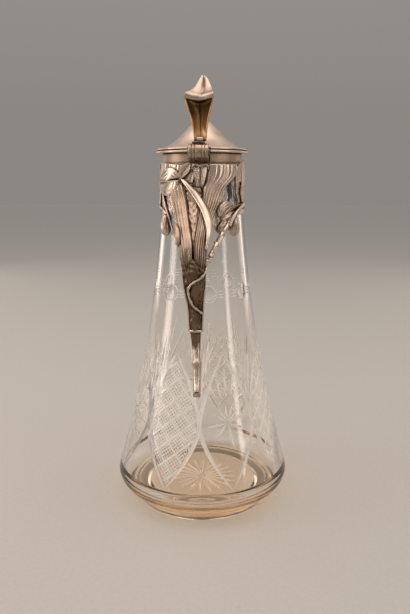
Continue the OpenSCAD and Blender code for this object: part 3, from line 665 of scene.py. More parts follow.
@dataclass
class Finishes:
    """Every finish of the jug, built once."""

    casting: bpy.types.Material = field(default_factory=PlatedCasting().build)
    # thin leaves, chased with veins
    leaf: bpy.types.Material = field(
        default_factory=PlatedCasting(name="silver_plated_leaf", vein_count=9.0, hollow_mm=2.0).build
    )
    # thick stalks, in darker tones than the casting
    stem: bpy.types.Material = field(
        default_factory=PlatedCasting(
            name="silver_plated_stem", bright="#b6a291", worn="#7d6858", tarnish="#33241a",
        ).build
    )
    # rolled edges and fine tendrils, rubbed bright all over; their paler colour and thin tarnish also paint
    # highlights on them
    edge: bpy.types.Material = field(
        default_factory=PlatedCasting(name="silver_plated_edge_and_highlight", bright="#d9c7ba", hollow_mm=0.9).build
    )
    # the grip, coarse as bark, in dark colours that paint the shade and dark reflections of its downward
    # faces
    bark: bpy.types.Material = field(
        default_factory=PlatedCasting(
            name="silver_plated_bark_painted_shade", bright="#7d6a58", worn="#473625", tarnish="#1d130c", grain_mm=1.8,
            grain_depth_mm=0.5, roughness=0.38,
        ).build
    )
    # the trough of the thumbpiece, gilt and burnished, with tarnish in its hollows; its long hollow_mm also
    # darkens the trough under the lip, as painted shade
    lily: bpy.types.Material = field(
        default_factory=PlatedCasting(
            name="silver_gilt_lily_tarnish_and_shade", bright="#c4a27c", worn="#8c6a45", tarnish="#3f2a15",
            grain_depth_mm=0.02, roughness=0.26, hollow_mm=9.0,
        ).build
    )
    # the petal over it, smooth and silvery
    petal: bpy.types.Material = field(
        default_factory=PlatedCasting(
            name="silver_plated_petal", bright="#c6b5a7", worn="#927f70", tarnish="#433228",
            grain_depth_mm=0.02, roughness=0.3, hollow_mm=6.0,
        ).build
    )
    turned: bpy.types.Material = field(default_factory=TurnedPlate().build)
    # the band and the mouth ring, duller than the lid
    band: bpy.types.Material = field(
        default_factory=TurnedPlate(
            name="silver_plated_band", bright="#b5a090", worn="#877263", tarnish="#3f2e23", roughness=0.46,
        ).build
    )
    glass: bpy.types.Material = field(default_factory=FlintGlass().build)
    plaster: bpy.types.Material = field(default_factory=PlasterOfParis().build)
    steel: bpy.types.Material = field(default_factory=DrawnSteel().build)


def dress(piece: bpy.types.Object, finish: bpy.types.Material) -> None:
    """Gives a piece one finish."""
    piece.data.materials.clear()
    piece.data.materials.append(finish)


def dress_node(node: str, finish: bpy.types.Material) -> None:
    """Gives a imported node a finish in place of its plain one."""
    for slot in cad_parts[node].material_slots:
        slot.material = finish


def refine_node(
    node: str, name: str, body: str, finish: bpy.types.Material, crease: float = 28.0,
) -> bpy.types.Object:
    """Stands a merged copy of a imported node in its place, with smooth faces and crisp edges.

    Args:
        node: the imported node, whose shape is kept.
        name: the new piece's name.
        body: the body that it rides on.
        finish: its finish.
        crease: edges that turn by more than this many degrees stay crisp.

    Returns:
        The new piece.
    """
    merge_mm = 0.004
    bm = bmesh.new()
    bm.from_mesh(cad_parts[node].data)
    bmesh.ops.remove_doubles(bm, verts=bm.verts, dist=merge_mm * MM)
    for face in bm.faces:
        face.smooth = True
    mesh = bpy.data.meshes.new(name)
    bm.to_mesh(mesh)
    bm.free()
    sharpen(mesh, crease)
    piece = bpy.data.objects.new(name, mesh)
    bpy.context.scene.collection.objects.link(piece)
    dress(piece, finish)
    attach(piece, body)
    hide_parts(node)
    report(piece)
    return piece


# ---- Glass -------------------------------------------------------------------


@dataclass
class GlassForm:
    """Sizes of the blown glass, in mm, as in the part's source."""

    glass_h: float = 276.0
    shoulder_r: float = 73.2
    shoulder_z: float = 24.0
    neck_r: float = 32.0
    neck_z: float = 262.0
    flare: float = 0.33
    foot_r: float = 58.0
    foot_h: float = 5.5
    wall: float = 3.2
    floor_t: float = 13.0
    kick_d: float = 2.5
    cove: float = 9.0
    seat_gap: float = 0.3

    def radius(self, z: float) -> float:
        """The outer radius at a height above the widest ring."""
        u = max(0.0, self.neck_z - z) / (self.neck_z - self.shoulder_z)
        return self.neck_r + (self.shoulder_r - self.neck_r) * (self.flare * u + (1 - self.flare) * u * u)

    def arc(
        self, centre: tuple[float, float], radius: float, start: float, end: float, count: int,
    ) -> Rows:
        """Points on an arc of the section, from one angle to another."""
        turns = [math.radians(mix(start, end, i / count)) for i in range(count + 1)]
        return [(centre[0] + radius * math.cos(t), centre[1] + radius * math.sin(t)) for t in turns]

    def section(self, rings: int) -> list[tuple[float, float]]:
        """The half section, from the middle of the underside round to the middle of the floor."""
        star_r, kick_r = self.foot_r - 26, self.foot_r - 12
        stands_from, stands_to = self.foot_r - 9, self.foot_r - 3
        edge, under_belly, belly_r, floor_r = 2.5, 1.2, self.foot_r + 3, 30.0
        floor_z = self.kick_d + self.floor_t
        heights = [mix(self.shoulder_z, self.neck_z, i / rings) for i in range(rings + 1)]
        cove_centre = (self.shoulder_r - self.wall - 3 - self.cove, floor_z + self.cove)
        steps = 12
        belly = [
            (
                mix(belly_r, self.shoulder_r, math.sin(math.pi * i / (2 * steps))),
                mix(self.foot_h, self.shoulder_z, i / steps),
            )
            for i in range(steps)
        ]
        return [
            (0.0, self.kick_d), (star_r, self.kick_d), (kick_r, self.kick_d),
            (stands_from, 0.0), (stands_to, 0.0),
            *self.arc((self.foot_r - edge, edge), edge, -90, 0, 5),
            (self.foot_r, self.foot_h - under_belly),
            *belly,
            *((self.radius(z), z) for z in heights),
            (self.neck_r, self.glass_h), (self.neck_r - self.wall, self.glass_h),
            *((self.radius(z) - self.wall, z) for z in reversed(heights[1:])),
            *self.arc(cove_centre, self.cove, 0, -90, 10),
            (floor_r, floor_z), (0.0, floor_z),
        ]


@dataclass(frozen=True)
class Mitre:
    """A V-shaped cut along a way over the glass.

    Args:
        way: angle and height of each point of its middle line.
        depth: depth in its middle, in mm.
        width: half width at the surface for each mm of depth.
        fade: share of its length over which it runs out at either end.
    """

    way: tuple[tuple[float, float], ...]
    depth: float
    width: float = 1.2
    fade: float = 0.25

    def depth_at(self, share: float) -> float:
        """The depth at a share of the way along."""
        near = min(share, 1 - share) / self.fade if self.fade else 1.0
        return self.depth * math.sqrt(max(0.0, min(1.0, near))) - RUN_OUT


@dataclass
class GlassBody:
    """The blown body with its wheel-cut pattern.

    Eight panels go round it, by turns with a lattice and with a star.

    Args:
        turns: faces in a full turn.
        rings: rows of faces between the widest ring and the neck.
        panel: the angle from one panel to the next.
        lattice_centre: angle of the middle of a lattice panel.
        star_centre: angle of the middle of a star panel.
        tip_low: height of a panel's lower tip.
        tip_high: height of its upper tip.
        waist_z: height at which it is widest.
        bend_high: how full its outline is over the waist.
        bend_low: how full it is under it.
        diamond: distance between two deep lines of the lattice.
        slants: the slants of its two families of lines.
        hatch_share: fine lines to each deep one.
        bold_depth: depth of a deep line.
        hatch_depth: depth of a fine line.
        star_z: height of the star's middle.
        star_rays: slant, length and depth of each ray.
        leaf_cuts: for each leaf cut, how far it is from the line between two panels at its lower and
            at its upper end, in degrees, and the heights of both ends.
        garland_z: height of the garland.
        printy_centre: angle of a round hollow's middle.
        printy_ground: how frosted the round hollows are, as they are polished after the cut.
        proud: how far a wedge stands out of the glass, in mm.
    """

    finishes: Finishes
    form: GlassForm = field(default_factory=GlassForm)
    turns: int = 288
    rings: int = 44
    panel: float = 45.0
    lattice_centre: float = -21.0
    star_centre: float = 24.0
    tip_low: float = 32.0
    tip_high: float = 136.5
    waist_z: float = 80.0
    bend_high: float = 1.75
    bend_low: float = 1.35
    diamond: float = 11.2
    slants: tuple[float, float] = (-50.0, 41.0)
    hatch_share: int = 5
    bold_depth: float = 1.05
    hatch_depth: float = 0.34
    star_z: float = 83.0
    star_rays: Rows = (
        (14, 18, 1.05), (-25, 18, 1.05), (-77, 22, 1.25), (-134, 15, 1.05), (-172, 17, 1.05),
        (46, 13, 0.7), (70, 15, 0.7), (94, 14, 0.7), (120, 14, 0.7), (146, 15, 0.8),
    )
    leaf_cuts: Rows = ((1.4, 4.6, 100.0, 141.0), (4.4, 9.2, 112.0, 148.0))
    garland_z: float = 182.6
    printy_centre: float = -34.0
    printy_ground: float = 0.3
    proud: float = 0.6

    def surface(self, angle: float, z: float) -> tuple[Vector, Vector]:
        """A point on the outer surface and the way out of the glass there."""
        step = 0.5
        slope = (self.form.radius(z + step) - self.form.radius(z - step)) / (2 * step)
        turn = math.radians(angle)
        out = Vector((math.sin(turn), -math.cos(turn), -slope)).normalized()
        return around(angle, self.form.radius(z), z), out

    def half_angle(self, z: float) -> float:
        """Half the angle that a panel spans at a height."""
        reach = self.tip_high - self.waist_z if z > self.waist_z else self.waist_z - self.tip_low
        share = abs(z - self.waist_z) / reach
        bend = self.bend_high if z > self.waist_z else self.bend_low
        return self.panel / 2 * max(0.0, 1 - share**bend)

    def wedge(
        self, bm: bmesh.types.BMesh, points: Points, outs: Points, depths: Sequence[float], width: float,
    ) -> None:
        """Adds the body that a wheel sweeps out along points on the surface.

        Args:
            bm: the mesh that gets it.
            points: the cut's middle line on the surface.
            outs: the way out of the glass at each point.
            depths: the depth at each point.
            width: half width for each mm of depth.
        """
        rows = []
        for i, (point, out, depth) in enumerate(zip(points, outs, depths)):
            side = out.cross(heading(points, i)).normalized() * (depth + self.proud) * width
            top = point + out * self.proud
            rows.append([point - out * depth, top + side, top - side])
        skin(bm, rows)

    def cut(self, bm: bmesh.types.BMesh, mitre: Mitre, step: float = 3.0) -> None:
        """Adds the wedge of one mitre cut, in steps of a length in mm."""
        fine = []
        for (a0, z0), (a1, z1) in zip(mitre.way, mitre.way[1:]):
            length = (self.surface(a1, z1)[0] - self.surface(a0, z0)[0]).length
            count = max(1, round(length / step))
            fine += [(mix(a0, a1, i / count), mix(z0, z1, i / count)) for i in range(count)]
        fine.append(mitre.way[-1])
        pairs = [self.surface(a, z) for a, z in fine]
        depths = [mitre.depth_at(i / (len(fine) - 1)) for i in range(len(fine))]
        self.wedge(bm, [p for p, _ in pairs], [o for _, o in pairs], depths, mitre.width)

    def repeat(self, bm: bmesh.types.BMesh, pitch: float) -> bmesh.types.BMesh:
        """Copies what a mesh holds round the jug at every multiple of an angle."""
        count = round(360 / pitch)
        bmesh.ops.spin(
            bm, geom=bm.verts[:] + bm.edges[:] + bm.faces[:], cent=(0, 0, 0), axis=(0, 0, 1),
            angle=math.radians(pitch * (count - 1)), steps=count - 1, use_duplicate=True,
        )
        return bm

    def clipped(
        self, centre: float, start: tuple[float, float], way: tuple[float, float], margin: float,
    ) -> tuple[tuple[float, float], ...]:
        """The stretch of a straight line that lies inside a panel.

        Args:
            centre: the panel's middle angle.
            start: a point of the line, as mm to the side of the middle and height.
            way: the line's direction, of length 1.
            margin: how far it stops short of the outline, in mm.

        Returns:
            Angles and heights along the stretch, or nothing if the line misses the panel.
        """
        reach, tip_gap, keep_each, fewest = 90, 2, 3, 5
        found = []
        for i in range(-reach, reach + 1):
            side, z = start[0] + way[0] * i, start[1] + way[1] * i
            if not self.tip_low + tip_gap < z < self.tip_high - tip_gap:
                continue
            angle = math.degrees(side / self.form.radius(z))
            room = math.radians(self.half_angle(z)) * self.form.radius(z) - abs(side)
            if room > margin:
                found.append((centre + angle, z))
        return tuple(found[::keep_each] + found[-1:]) if len(found) >= fewest else ()

    def lattice(self, family: int) -> bmesh.types.BMesh:
        """One family of parallel lines of the lattice panels: every fifth is a deep mitre."""
        rise, reach, bold_margin, hatch_margin = 4, 48, 1.0, 2.2
        slant = math.radians(self.slants[family])
        way = (math.cos(slant), math.sin(slant))
        across = (-way[1], way[0])
        pitch = self.diamond / self.hatch_share
        bm = bmesh.new()
        for k in range(-reach, reach + 1):
            start = (across[0] * pitch * k, self.waist_z + rise + across[1] * pitch * k)
            deep = k % self.hatch_share == 0
            line = self.clipped(self.lattice_centre, start, way, bold_margin if deep else hatch_margin)
            if line:
                depth = self.bold_depth if deep else self.hatch_depth
                self.cut(bm, Mitre(line, depth, width=1.0, fade=0.02))
        return self.repeat(bm, 2 * self.panel)

    def outlines(self, side: int, centre: float) -> bmesh.types.BMesh:
        """One side of every outline round a set of panels."""
        steps = 36
        heights = [mix(self.tip_low, self.tip_high, i / steps) for i in range(steps + 1)]
        way = tuple((centre + side * self.half_angle(z), z) for z in heights)
        bm = bmesh.new()
        self.cut(bm, Mitre(way, depth=1.3, width=1.3, fade=0.3))
        return self.repeat(bm, 2 * self.panel)

    def ray(self, slant: float, reaches: Iterable[float]) -> tuple[tuple[float, float], ...]:
        """The way of a ray from a star's middle, through points at distances from it."""
        turn = math.radians(slant)
        ends = [(r * math.cos(turn), self.star_z + r * math.sin(turn)) for r in reaches]
        return tuple((self.star_centre + math.degrees(s / self.form.radius(z)), z) for s, z in ends)

    def stars(self) -> bmesh.types.BMesh:
        """The star and the fan over it in each star panel. The rays stop short of the middle."""
        bm = bmesh.new()
        for slant, length, depth in self.star_rays:
            way = self.ray(slant, [share * length for share in (0.08, 0.3, 0.6, 1.0)])
            self.cut(bm, Mitre(way, depth, width=1.15, fade=0.6))
        fan_near, fan_far, fan_drop, fan_pitch = 19.0, 43.0, 5.5, 11.5
        for k in range(-3, 4):
            near, far = fan_near + abs(k), fan_far - fan_drop * abs(k)
            way = self.ray(90 - fan_pitch * k, (near, mix(near, far, 0.5), far))
            self.cut(bm, Mitre(way, depth=0.7, width=1.3, fade=0.5))
        return self.repeat(bm, 2 * self.panel)

    def leaves(self) -> bmesh.types.BMesh:
        """The pairs of tall leaf cuts between the panels."""
        bend = 1.4
        edge = self.lattice_centre + self.panel / 2
        bm = bmesh.new()
        for side in (-1, 1):
            for near, far, low, high in self.leaf_cuts:
                way = tuple(
                    (edge + side * mix(near, far, share**bend), mix(low, high, share))
                    for share in (0.0, 0.25, 0.5, 0.75, 1.0)
                )
                self.cut(bm, Mitre(way, depth=0.95, width=1.1, fade=0.5))
        return self.repeat(bm, self.panel)

    def garland(self) -> bmesh.types.BMesh:
        """The strokes between the printies, and the short lines over them."""
        bm = bmesh.new()
        offset, reach, lower, pitch, sag = 13.5, 4.6, 0.5, 2.6, 0.5
        for side in (-1, 1):
            for row in (-1, 0, 1):
                angle = self.printy_centre + side * offset
                z = self.garland_z - lower + row * pitch
                way = ((angle - reach, z), (angle, z - row * sag), (angle + reach, z))
                self.cut(bm, Mitre(way, depth=0.7, width=1.1, fade=0.5))
        offset, reach, height, pitch = 7, 4, 198.5, 2.2
        for row in (-1, 0, 1):
            angle, z = self.printy_centre + offset, height + row * pitch
            way = ((angle - reach, z), (angle, z), (angle + reach, z))
            self.cut(bm, Mitre(way, depth=0.4, width=1.0, fade=0.5))
        return self.repeat(bm, self.panel)

    def printies(self) -> bmesh.types.BMesh:
        """Shallow round hollows, ground by the edge of a wheel."""
        radius, depth, clear = 5.7, 0.95, 3
        ball = (radius**2 + depth**2) / (2 * depth)
        point, out = self.surface(self.printy_centre, self.garland_z)
        bm = bmesh.new()
        bmesh.ops.create_uvsphere(bm, u_segments=96, v_segments=64, radius=ball)
        bmesh.ops.translate(bm, verts=bm.verts, vec=point + out * (ball - depth))
        bmesh.ops.bisect_plane(
            bm, geom=bm.verts[:] + bm.edges[:] + bm.faces[:], plane_co=point + out * clear, plane_no=out,
            clear_outer=True,
        )
        bmesh.ops.holes_fill(bm, edges=[e for e in bm.edges if e.is_boundary], sides=0)
        return self.repeat(bm, self.panel)

    def printy_rims(self) -> bmesh.types.BMesh:
        """A fine cut round each printy, open by a few degrees where it starts."""
        reach, opening, steps = 6.3, 3, 40
        girth = self.form.radius(self.garland_z)
        way = []
        for i in range(steps + 1):
            turn = math.radians(mix(opening, 360 - opening, i / steps))
            side, level = reach * math.cos(turn), reach * math.sin(turn)
            way.append((self.printy_centre + math.degrees(side / girth), self.garland_z + level))
        bm = bmesh.new()
        self.cut(bm, Mitre(tuple(way), depth=0.6, width=1.0, fade=0.02), step=1.0)
        return self.repeat(bm, self.panel)

    def foot_star(self) -> bmesh.types.BMesh:
        """The star under the foot. Its rays are deepest at seven tenths of their length."""
        rays, near, reach, depth = 20, 2.2, 30.0, 1.6
        rise, fall, steps = 0.7, 0.3, 8
        shares = [i / steps for i in range(steps + 1)]
        points = [Vector((0, -mix(near, reach, s), self.form.kick_d)) for s in shares]
        depths = [
            depth * math.sqrt(max(0.0, min(s / rise, (1 - s) / fall, 1.0))) - RUN_OUT for s in shares
        ]
        bm = bmesh.new()
        self.wedge(bm, points, [Vector((0, 0, -1))] * len(points), depths, 1.2)
        return self.repeat(bm, 360 / rays)

    def carve(
        self, body: bpy.types.Object, cutter: bmesh.types.BMesh, name: str, ground: float = 1.0,
    ) -> None:
        """Cuts a set of wedges out of the glass.

        Args:
            body: the glass.
            cutter: the wedges.
            name: what they cut, for the log.
            ground: how frosted the faces that they leave are, from 0 to 1.
        """
        tool = make_object(cutter, name)
        marks = tool.data.attributes.new(GROUND, "FLOAT", "FACE")
        marks.data.foreach_set("value", [ground] * len(tool.data.polygons))
        cut_out(body, tool)
        LOG.info("%s: %d faces in the glass", name, len(body.data.polygons))

    def build(self) -> bpy.types.Object:
        """Spins the glass, cuts its pattern and dresses it."""
        section = self.form.section(self.rings)
        bm = spin_profile([(0, -r, z) for r, z in section], self.turns, closed=False)
        bmesh.ops.remove_doubles(bm, verts=bm.verts, dist=0.001)
        body = make_object(bm, "cut_glass_body")
        body.data.attributes.new(GROUND, "FLOAT", "FACE")
        body.data.materials.append(self.finishes.glass)
        self.carve(body, self.lattice(0), "lattice lines one way")
        self.carve(body, self.lattice(1), "lattice lines the other way")
        for label, centre in (("lattices", self.lattice_centre), ("stars", self.star_centre)):
            self.carve(body, self.outlines(-1, centre), f"left outlines of the {label}")
            self.carve(body, self.outlines(1, centre), f"right outlines of the {label}")
        self.carve(body, self.stars(), "stars and fans")
        self.carve(body, self.leaves(), "leaf cuts")
        self.carve(body, self.garland(), "garland")
        self.carve(body, self.printies(), "printies", self.printy_ground)
        self.carve(body, self.printy_rims(), "printy rims")
        self.carve(body, self.foot_star(), "foot star")
        for polygon in body.data.polygons:
            polygon.use_smooth = True
        sharpen(body.data, 16.0)
        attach(body, JUG)
        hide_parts("glass_body")
        report(body)
        return body


# ---- Castings ----------------------------------------------------------------


@dataclass
class Mount:
    """Where castings may lie: heights and radii of the neck, in mm.

    Args:
        solder: how far they stand off the band.
        band_r: the band's radius, read from the frame.
        band_z: height of the band's lower edge, read from the frame.
        step_h: height of the step between band and mouth ring over the band's lower edge.
        lead_from: how far under the band they begin to lead out from the glass to it.
        lead_h: the height over which they do.
    """

    form: GlassForm = field(default_factory=GlassForm)
    solder: float = 0.1
    band_r: float = 0.0
    band_z: float = 0.0
    step_h: float = 13.4
    lead_from: float = 8.0
    lead_h: float = 6.0

    def __post_init__(self) -> None:
        """Reads the band's place from the frame."""
        low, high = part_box("neck_band")
        self.band_r = high.x / MM
        self.band_z = low.z / MM

    @property
    def step_z(self) -> float:
        """Height of the step between the band and the mouth ring."""
        return self.band_z + self.step_h

    def seat(self, z: float) -> float:
        """The radius that a casting may lie on at a height: the glass, then over the band."""
        glass = self.form.radius(z) + self.form.seat_gap
        share = min(1.0, max(0.0, (z - self.band_z + self.lead_from) / self.lead_h))
        return mix(glass, max(glass, self.band_r + self.solder), share * share * (3 - 2 * share))


def settle(
    piece: bpy.types.Object, finish: bpy.types.Material, body: str, nodes: Iterable[str],
) -> bpy.types.Object:
    """Dresses a new metal piece, ties it to its body and hides the nodes that it stands for."""
    dress(piece, finish)
    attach(piece, body)
    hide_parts(*nodes)
    report(piece)
    return piece


@dataclass
class Casting:
    """A cast piece that is lofted through level sections round the jug's axis.

    Args:
        name: the piece's name.
        nodes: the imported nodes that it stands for.
        rows: height, angle, half width, radius and half thickness, from the top down.
        flutes: how many flutes run down its outer face.
        flute_depth: depth of a flute as a share of the half thickness.
        fluted_mm: half thickness from which on the flutes get no deeper.
        rings: sections along it.
        sides: points round it.
        bark: how rough its skin is, in mm.
        bark_scale: knots of the bark to each mm.
    """

    name: str
    nodes: tuple[str, ...]
    rows: Rows
    flutes: float = 0.0
    flute_depth: float = 0.0
    fluted_mm: float = 2.4
    rings: int = 48
    sides: int = 48
    bark: float = 0.0
    bark_scale: float = 0.45

    def ring(self, row: Sequence[float]) -> Points:
        """The points of one section."""
        stretch, fine_share, fine_scale = 0.6, 0.45, 2.3
        z, angle, half_width, radius, half_depth = row
        points = []
        for i in range(self.sides):
            turn = 2 * math.pi * i / self.sides
            outward = math.sin(turn)
            flute = 0.0
            if outward > 0:
                wave = math.cos(2 * self.flutes * math.pi * math.cos(turn))
                flute = self.flute_depth * outward**0.5 * wave
                flute *= min(1.0, self.fluted_mm / half_depth)
            if self.bark:
                spot = Vector((half_width * math.cos(turn), outward * half_depth, stretch * z))
                spot *= self.bark_scale
                knots = noise.noise(spot) + fine_share * noise.noise(spot * fine_scale)
                flute += self.bark / half_depth * knots
            side = math.degrees(half_width * math.cos(turn) / radius)
            points.append(around(angle + side, radius + half_depth * (outward + flute), z))
        return points

    def build(self, finish: bpy.types.Material) -> bpy.types.Object:
        """Lofts the piece and dresses it."""
        bm = bmesh.new()
        skin(bm, [self.ring(row) for row in curve(self.rows, self.rings)])
        return settle(make_object(bm, self.name), finish, JUG, self.nodes)


@dataclass
class Stem:
    """A round stem that follows a way over the jug.

    Args:
        name: the piece's name.
        nodes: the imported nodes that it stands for.
        rows: x, y, z and radius along it, or angle, height, stand-off and radius where it lies on
            the neck.
        on_neck: whether its rows lie on the neck.
        knots: how many knots it has.
        knot: how far a knot stands out, as a share of the radius.
        rings: sections along it.
        sides: points round it.
    """

    name: str
    nodes: tuple[str, ...]
    rows: Rows
    on_neck: bool = True
    knots: float = 0.0
    knot: float = 0.3
    rings: int = 40
    sides: int = 12

    def build(self, finish: bpy.types.Material, mount: Mount) -> bpy.types.Object:
        """Sweeps the stem and dresses it."""
        fine = curve(self.rows, self.rings)
        if self.on_neck:
            points = [around(a, mount.seat(z) + off + r, z) for a, z, off, r in fine]
        else:
            points = [Vector(row[:3]) for row in fine]
        last = len(points) - 1
        narrow = 6
        rows = []
        for i, (point, row) in enumerate(zip(points, fine)):
            along = heading(points, i)
            out = Vector((point.x, point.y, 0)).normalized()
            side = along.cross(out).normalized()
            out = side.cross(along)
            radius = row[3]
            if self.knots:
                beat = math.sin(math.pi * self.knots * i / last) ** 2
                radius *= 1 + self.knot * beat**narrow
            turns = [2 * math.pi * k / self.sides for k in range(self.sides)]
            rows.append([point + side * radius * math.cos(t) + out * radius * math.sin(t) for t in turns])
        bm = bmesh.new()
        skin(bm, rows)
        return settle(make_object(bm, self.name), finish, JUG, self.nodes)


@dataclass
class Leaf:
    """A cast leaf that lies against the neck or lifts off it.

    Args:
        name: the piece's name.
        nodes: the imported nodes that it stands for.
        rows: angle, height, stand-off and half width along its midrib, from base to tip.
        cup: how far its edges lift, as a share of the half width.
        fold: depth of the midrib's groove, in mm. A ridge where it is negative.
        veins: how many side veins it has.
        vein_depth: their depth, in mm.
        teeth: notches along each edge.
        tooth: depth of a notch, as a share of the half width.
        thickness: its wall, in mm.
        rings: rows of faces along it.
        spread: faces from its midrib to an edge.
    """

    name: str
    nodes: tuple[str, ...]
    rows: Rows
    cup: float = 0.12
    fold: float = 0.5
    veins: float = 7.0
    vein_depth: float = 0.22
    teeth: float = 0.0
    tooth: float = 0.12
    thickness: float = 0.9
    rings: int = 36
    spread: int = 18

    def build(self, finish: bpy.types.Material, mount: Mount) -> bpy.types.Object:
        """Skins the leaf, gives it its wall and dresses it."""
        curl, groove, slant, from_rib, to_edge = 1.7, 0.16, 2.2, 3, 1.05
        fine = curve(self.rows, self.rings)
        last = len(fine) - 1
        rows = []
        for i, (angle, z, off, half_width) in enumerate(fine):
            share = i / last
            radius = mount.seat(z) + off
            before, after = fine[max(i - 1, 0)], fine[min(i + 1, last)]
            across = math.radians(after[0] - before[0]) * radius
            way = Vector((across, after[1] - before[1])).normalized()
            if self.teeth:
                half_width *= 1 - self.tooth * ((share * self.teeth) % 1.0)
            row = []
            for k in range(2 * self.spread + 1):
                u = k / self.spread - 1
                level = z - way.x * half_width * u
                turn = angle + math.degrees(way.y * half_width * u / radius)
                lift = self.cup * half_width * abs(u) ** curl
                lift -= self.fold * math.exp(-((u / groove) ** 2))
                ripple = math.cos(2 * math.pi * (self.veins * share - slant * abs(u)))
                lift += self.vein_depth * ripple * min(1.0, from_rib * abs(u)) * (to_edge - abs(u))
                row.append(around(turn, max(mount.seat(level), mount.seat(z)) + off + lift, level))
            rows.append(row)
        bm = bmesh.new()
        skin(bm, rows, closed=False)
        bm.normal_update()
        middle = bm.faces[:][len(bm.faces) // 2]
        centre = middle.calc_center_median()
        if middle.normal.dot(Vector((centre.x, centre.y, 0))) < 0:
            bmesh.ops.reverse_faces(bm, faces=bm.faces)
        piece = make_object(bm, self.name, recalculate=False)
        thicken(piece, self.thickness)
        return settle(piece, finish, JUG, self.nodes)


@dataclass
class Bud:
    """A closed bud that hangs on the neck, wrapped in turned leaves.

    Args:
        name: the piece's name.
        node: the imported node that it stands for.
        angle: its angle from the handle.
        twist: how far its folds turn from its lower end to its upper one, in degrees.
        folds: how many leaves wrap it.
        half_width: its half width, in mm.
        height: its height, in mm.
        low: height of its lower end.
        rings: rows of faces along it.
        sides: points round it.
    """

    name: str
    node: str
    angle: float
    twist: float
    folds: int = 4
    half_width: float = 4.3
    height: float = 16.5
    low: float = 226.0
    rings: int = 30
    sides: int = 48

    def build(self, finish: bpy.types.Material, mount: Mount) -> bpy.types.Object:
        """Lofts the bud's skin fold by fold."""
        sunk, end, span, belly, lap = 0.55, 0.02, 0.96, 0.16, 0.17
        stand_off = mount.seat(self.low + self.height / 2) + self.half_width * sunk
        middle = around(self.angle, stand_off, 0)
        rows = []
        for i in range(self.rings + 1):
            turn = math.pi * (end + span * i / self.rings)
            level = self.low + self.height / 2 * (1 - math.cos(turn))
            radius = self.half_width * math.sin(turn) * (1 + belly * math.cos(turn))
            row = []
            for k in range(self.sides):
                side = 2 * math.pi * k / self.sides
                twisted = side + math.radians(self.twist) * i / self.rings
                phase = (self.folds * twisted / (2 * math.pi)) % 1.0
                fold = 1.0 - lap * phase**2
                row.append(middle + Vector((
                    radius * fold * math.cos(side), radius * fold * math.sin(side), level,
                )))
            rows.append(row)
        bm = bmesh.new()
        skin(bm, rows)
        return settle(make_object(bm, self.name), finish, JUG, (self.node,))


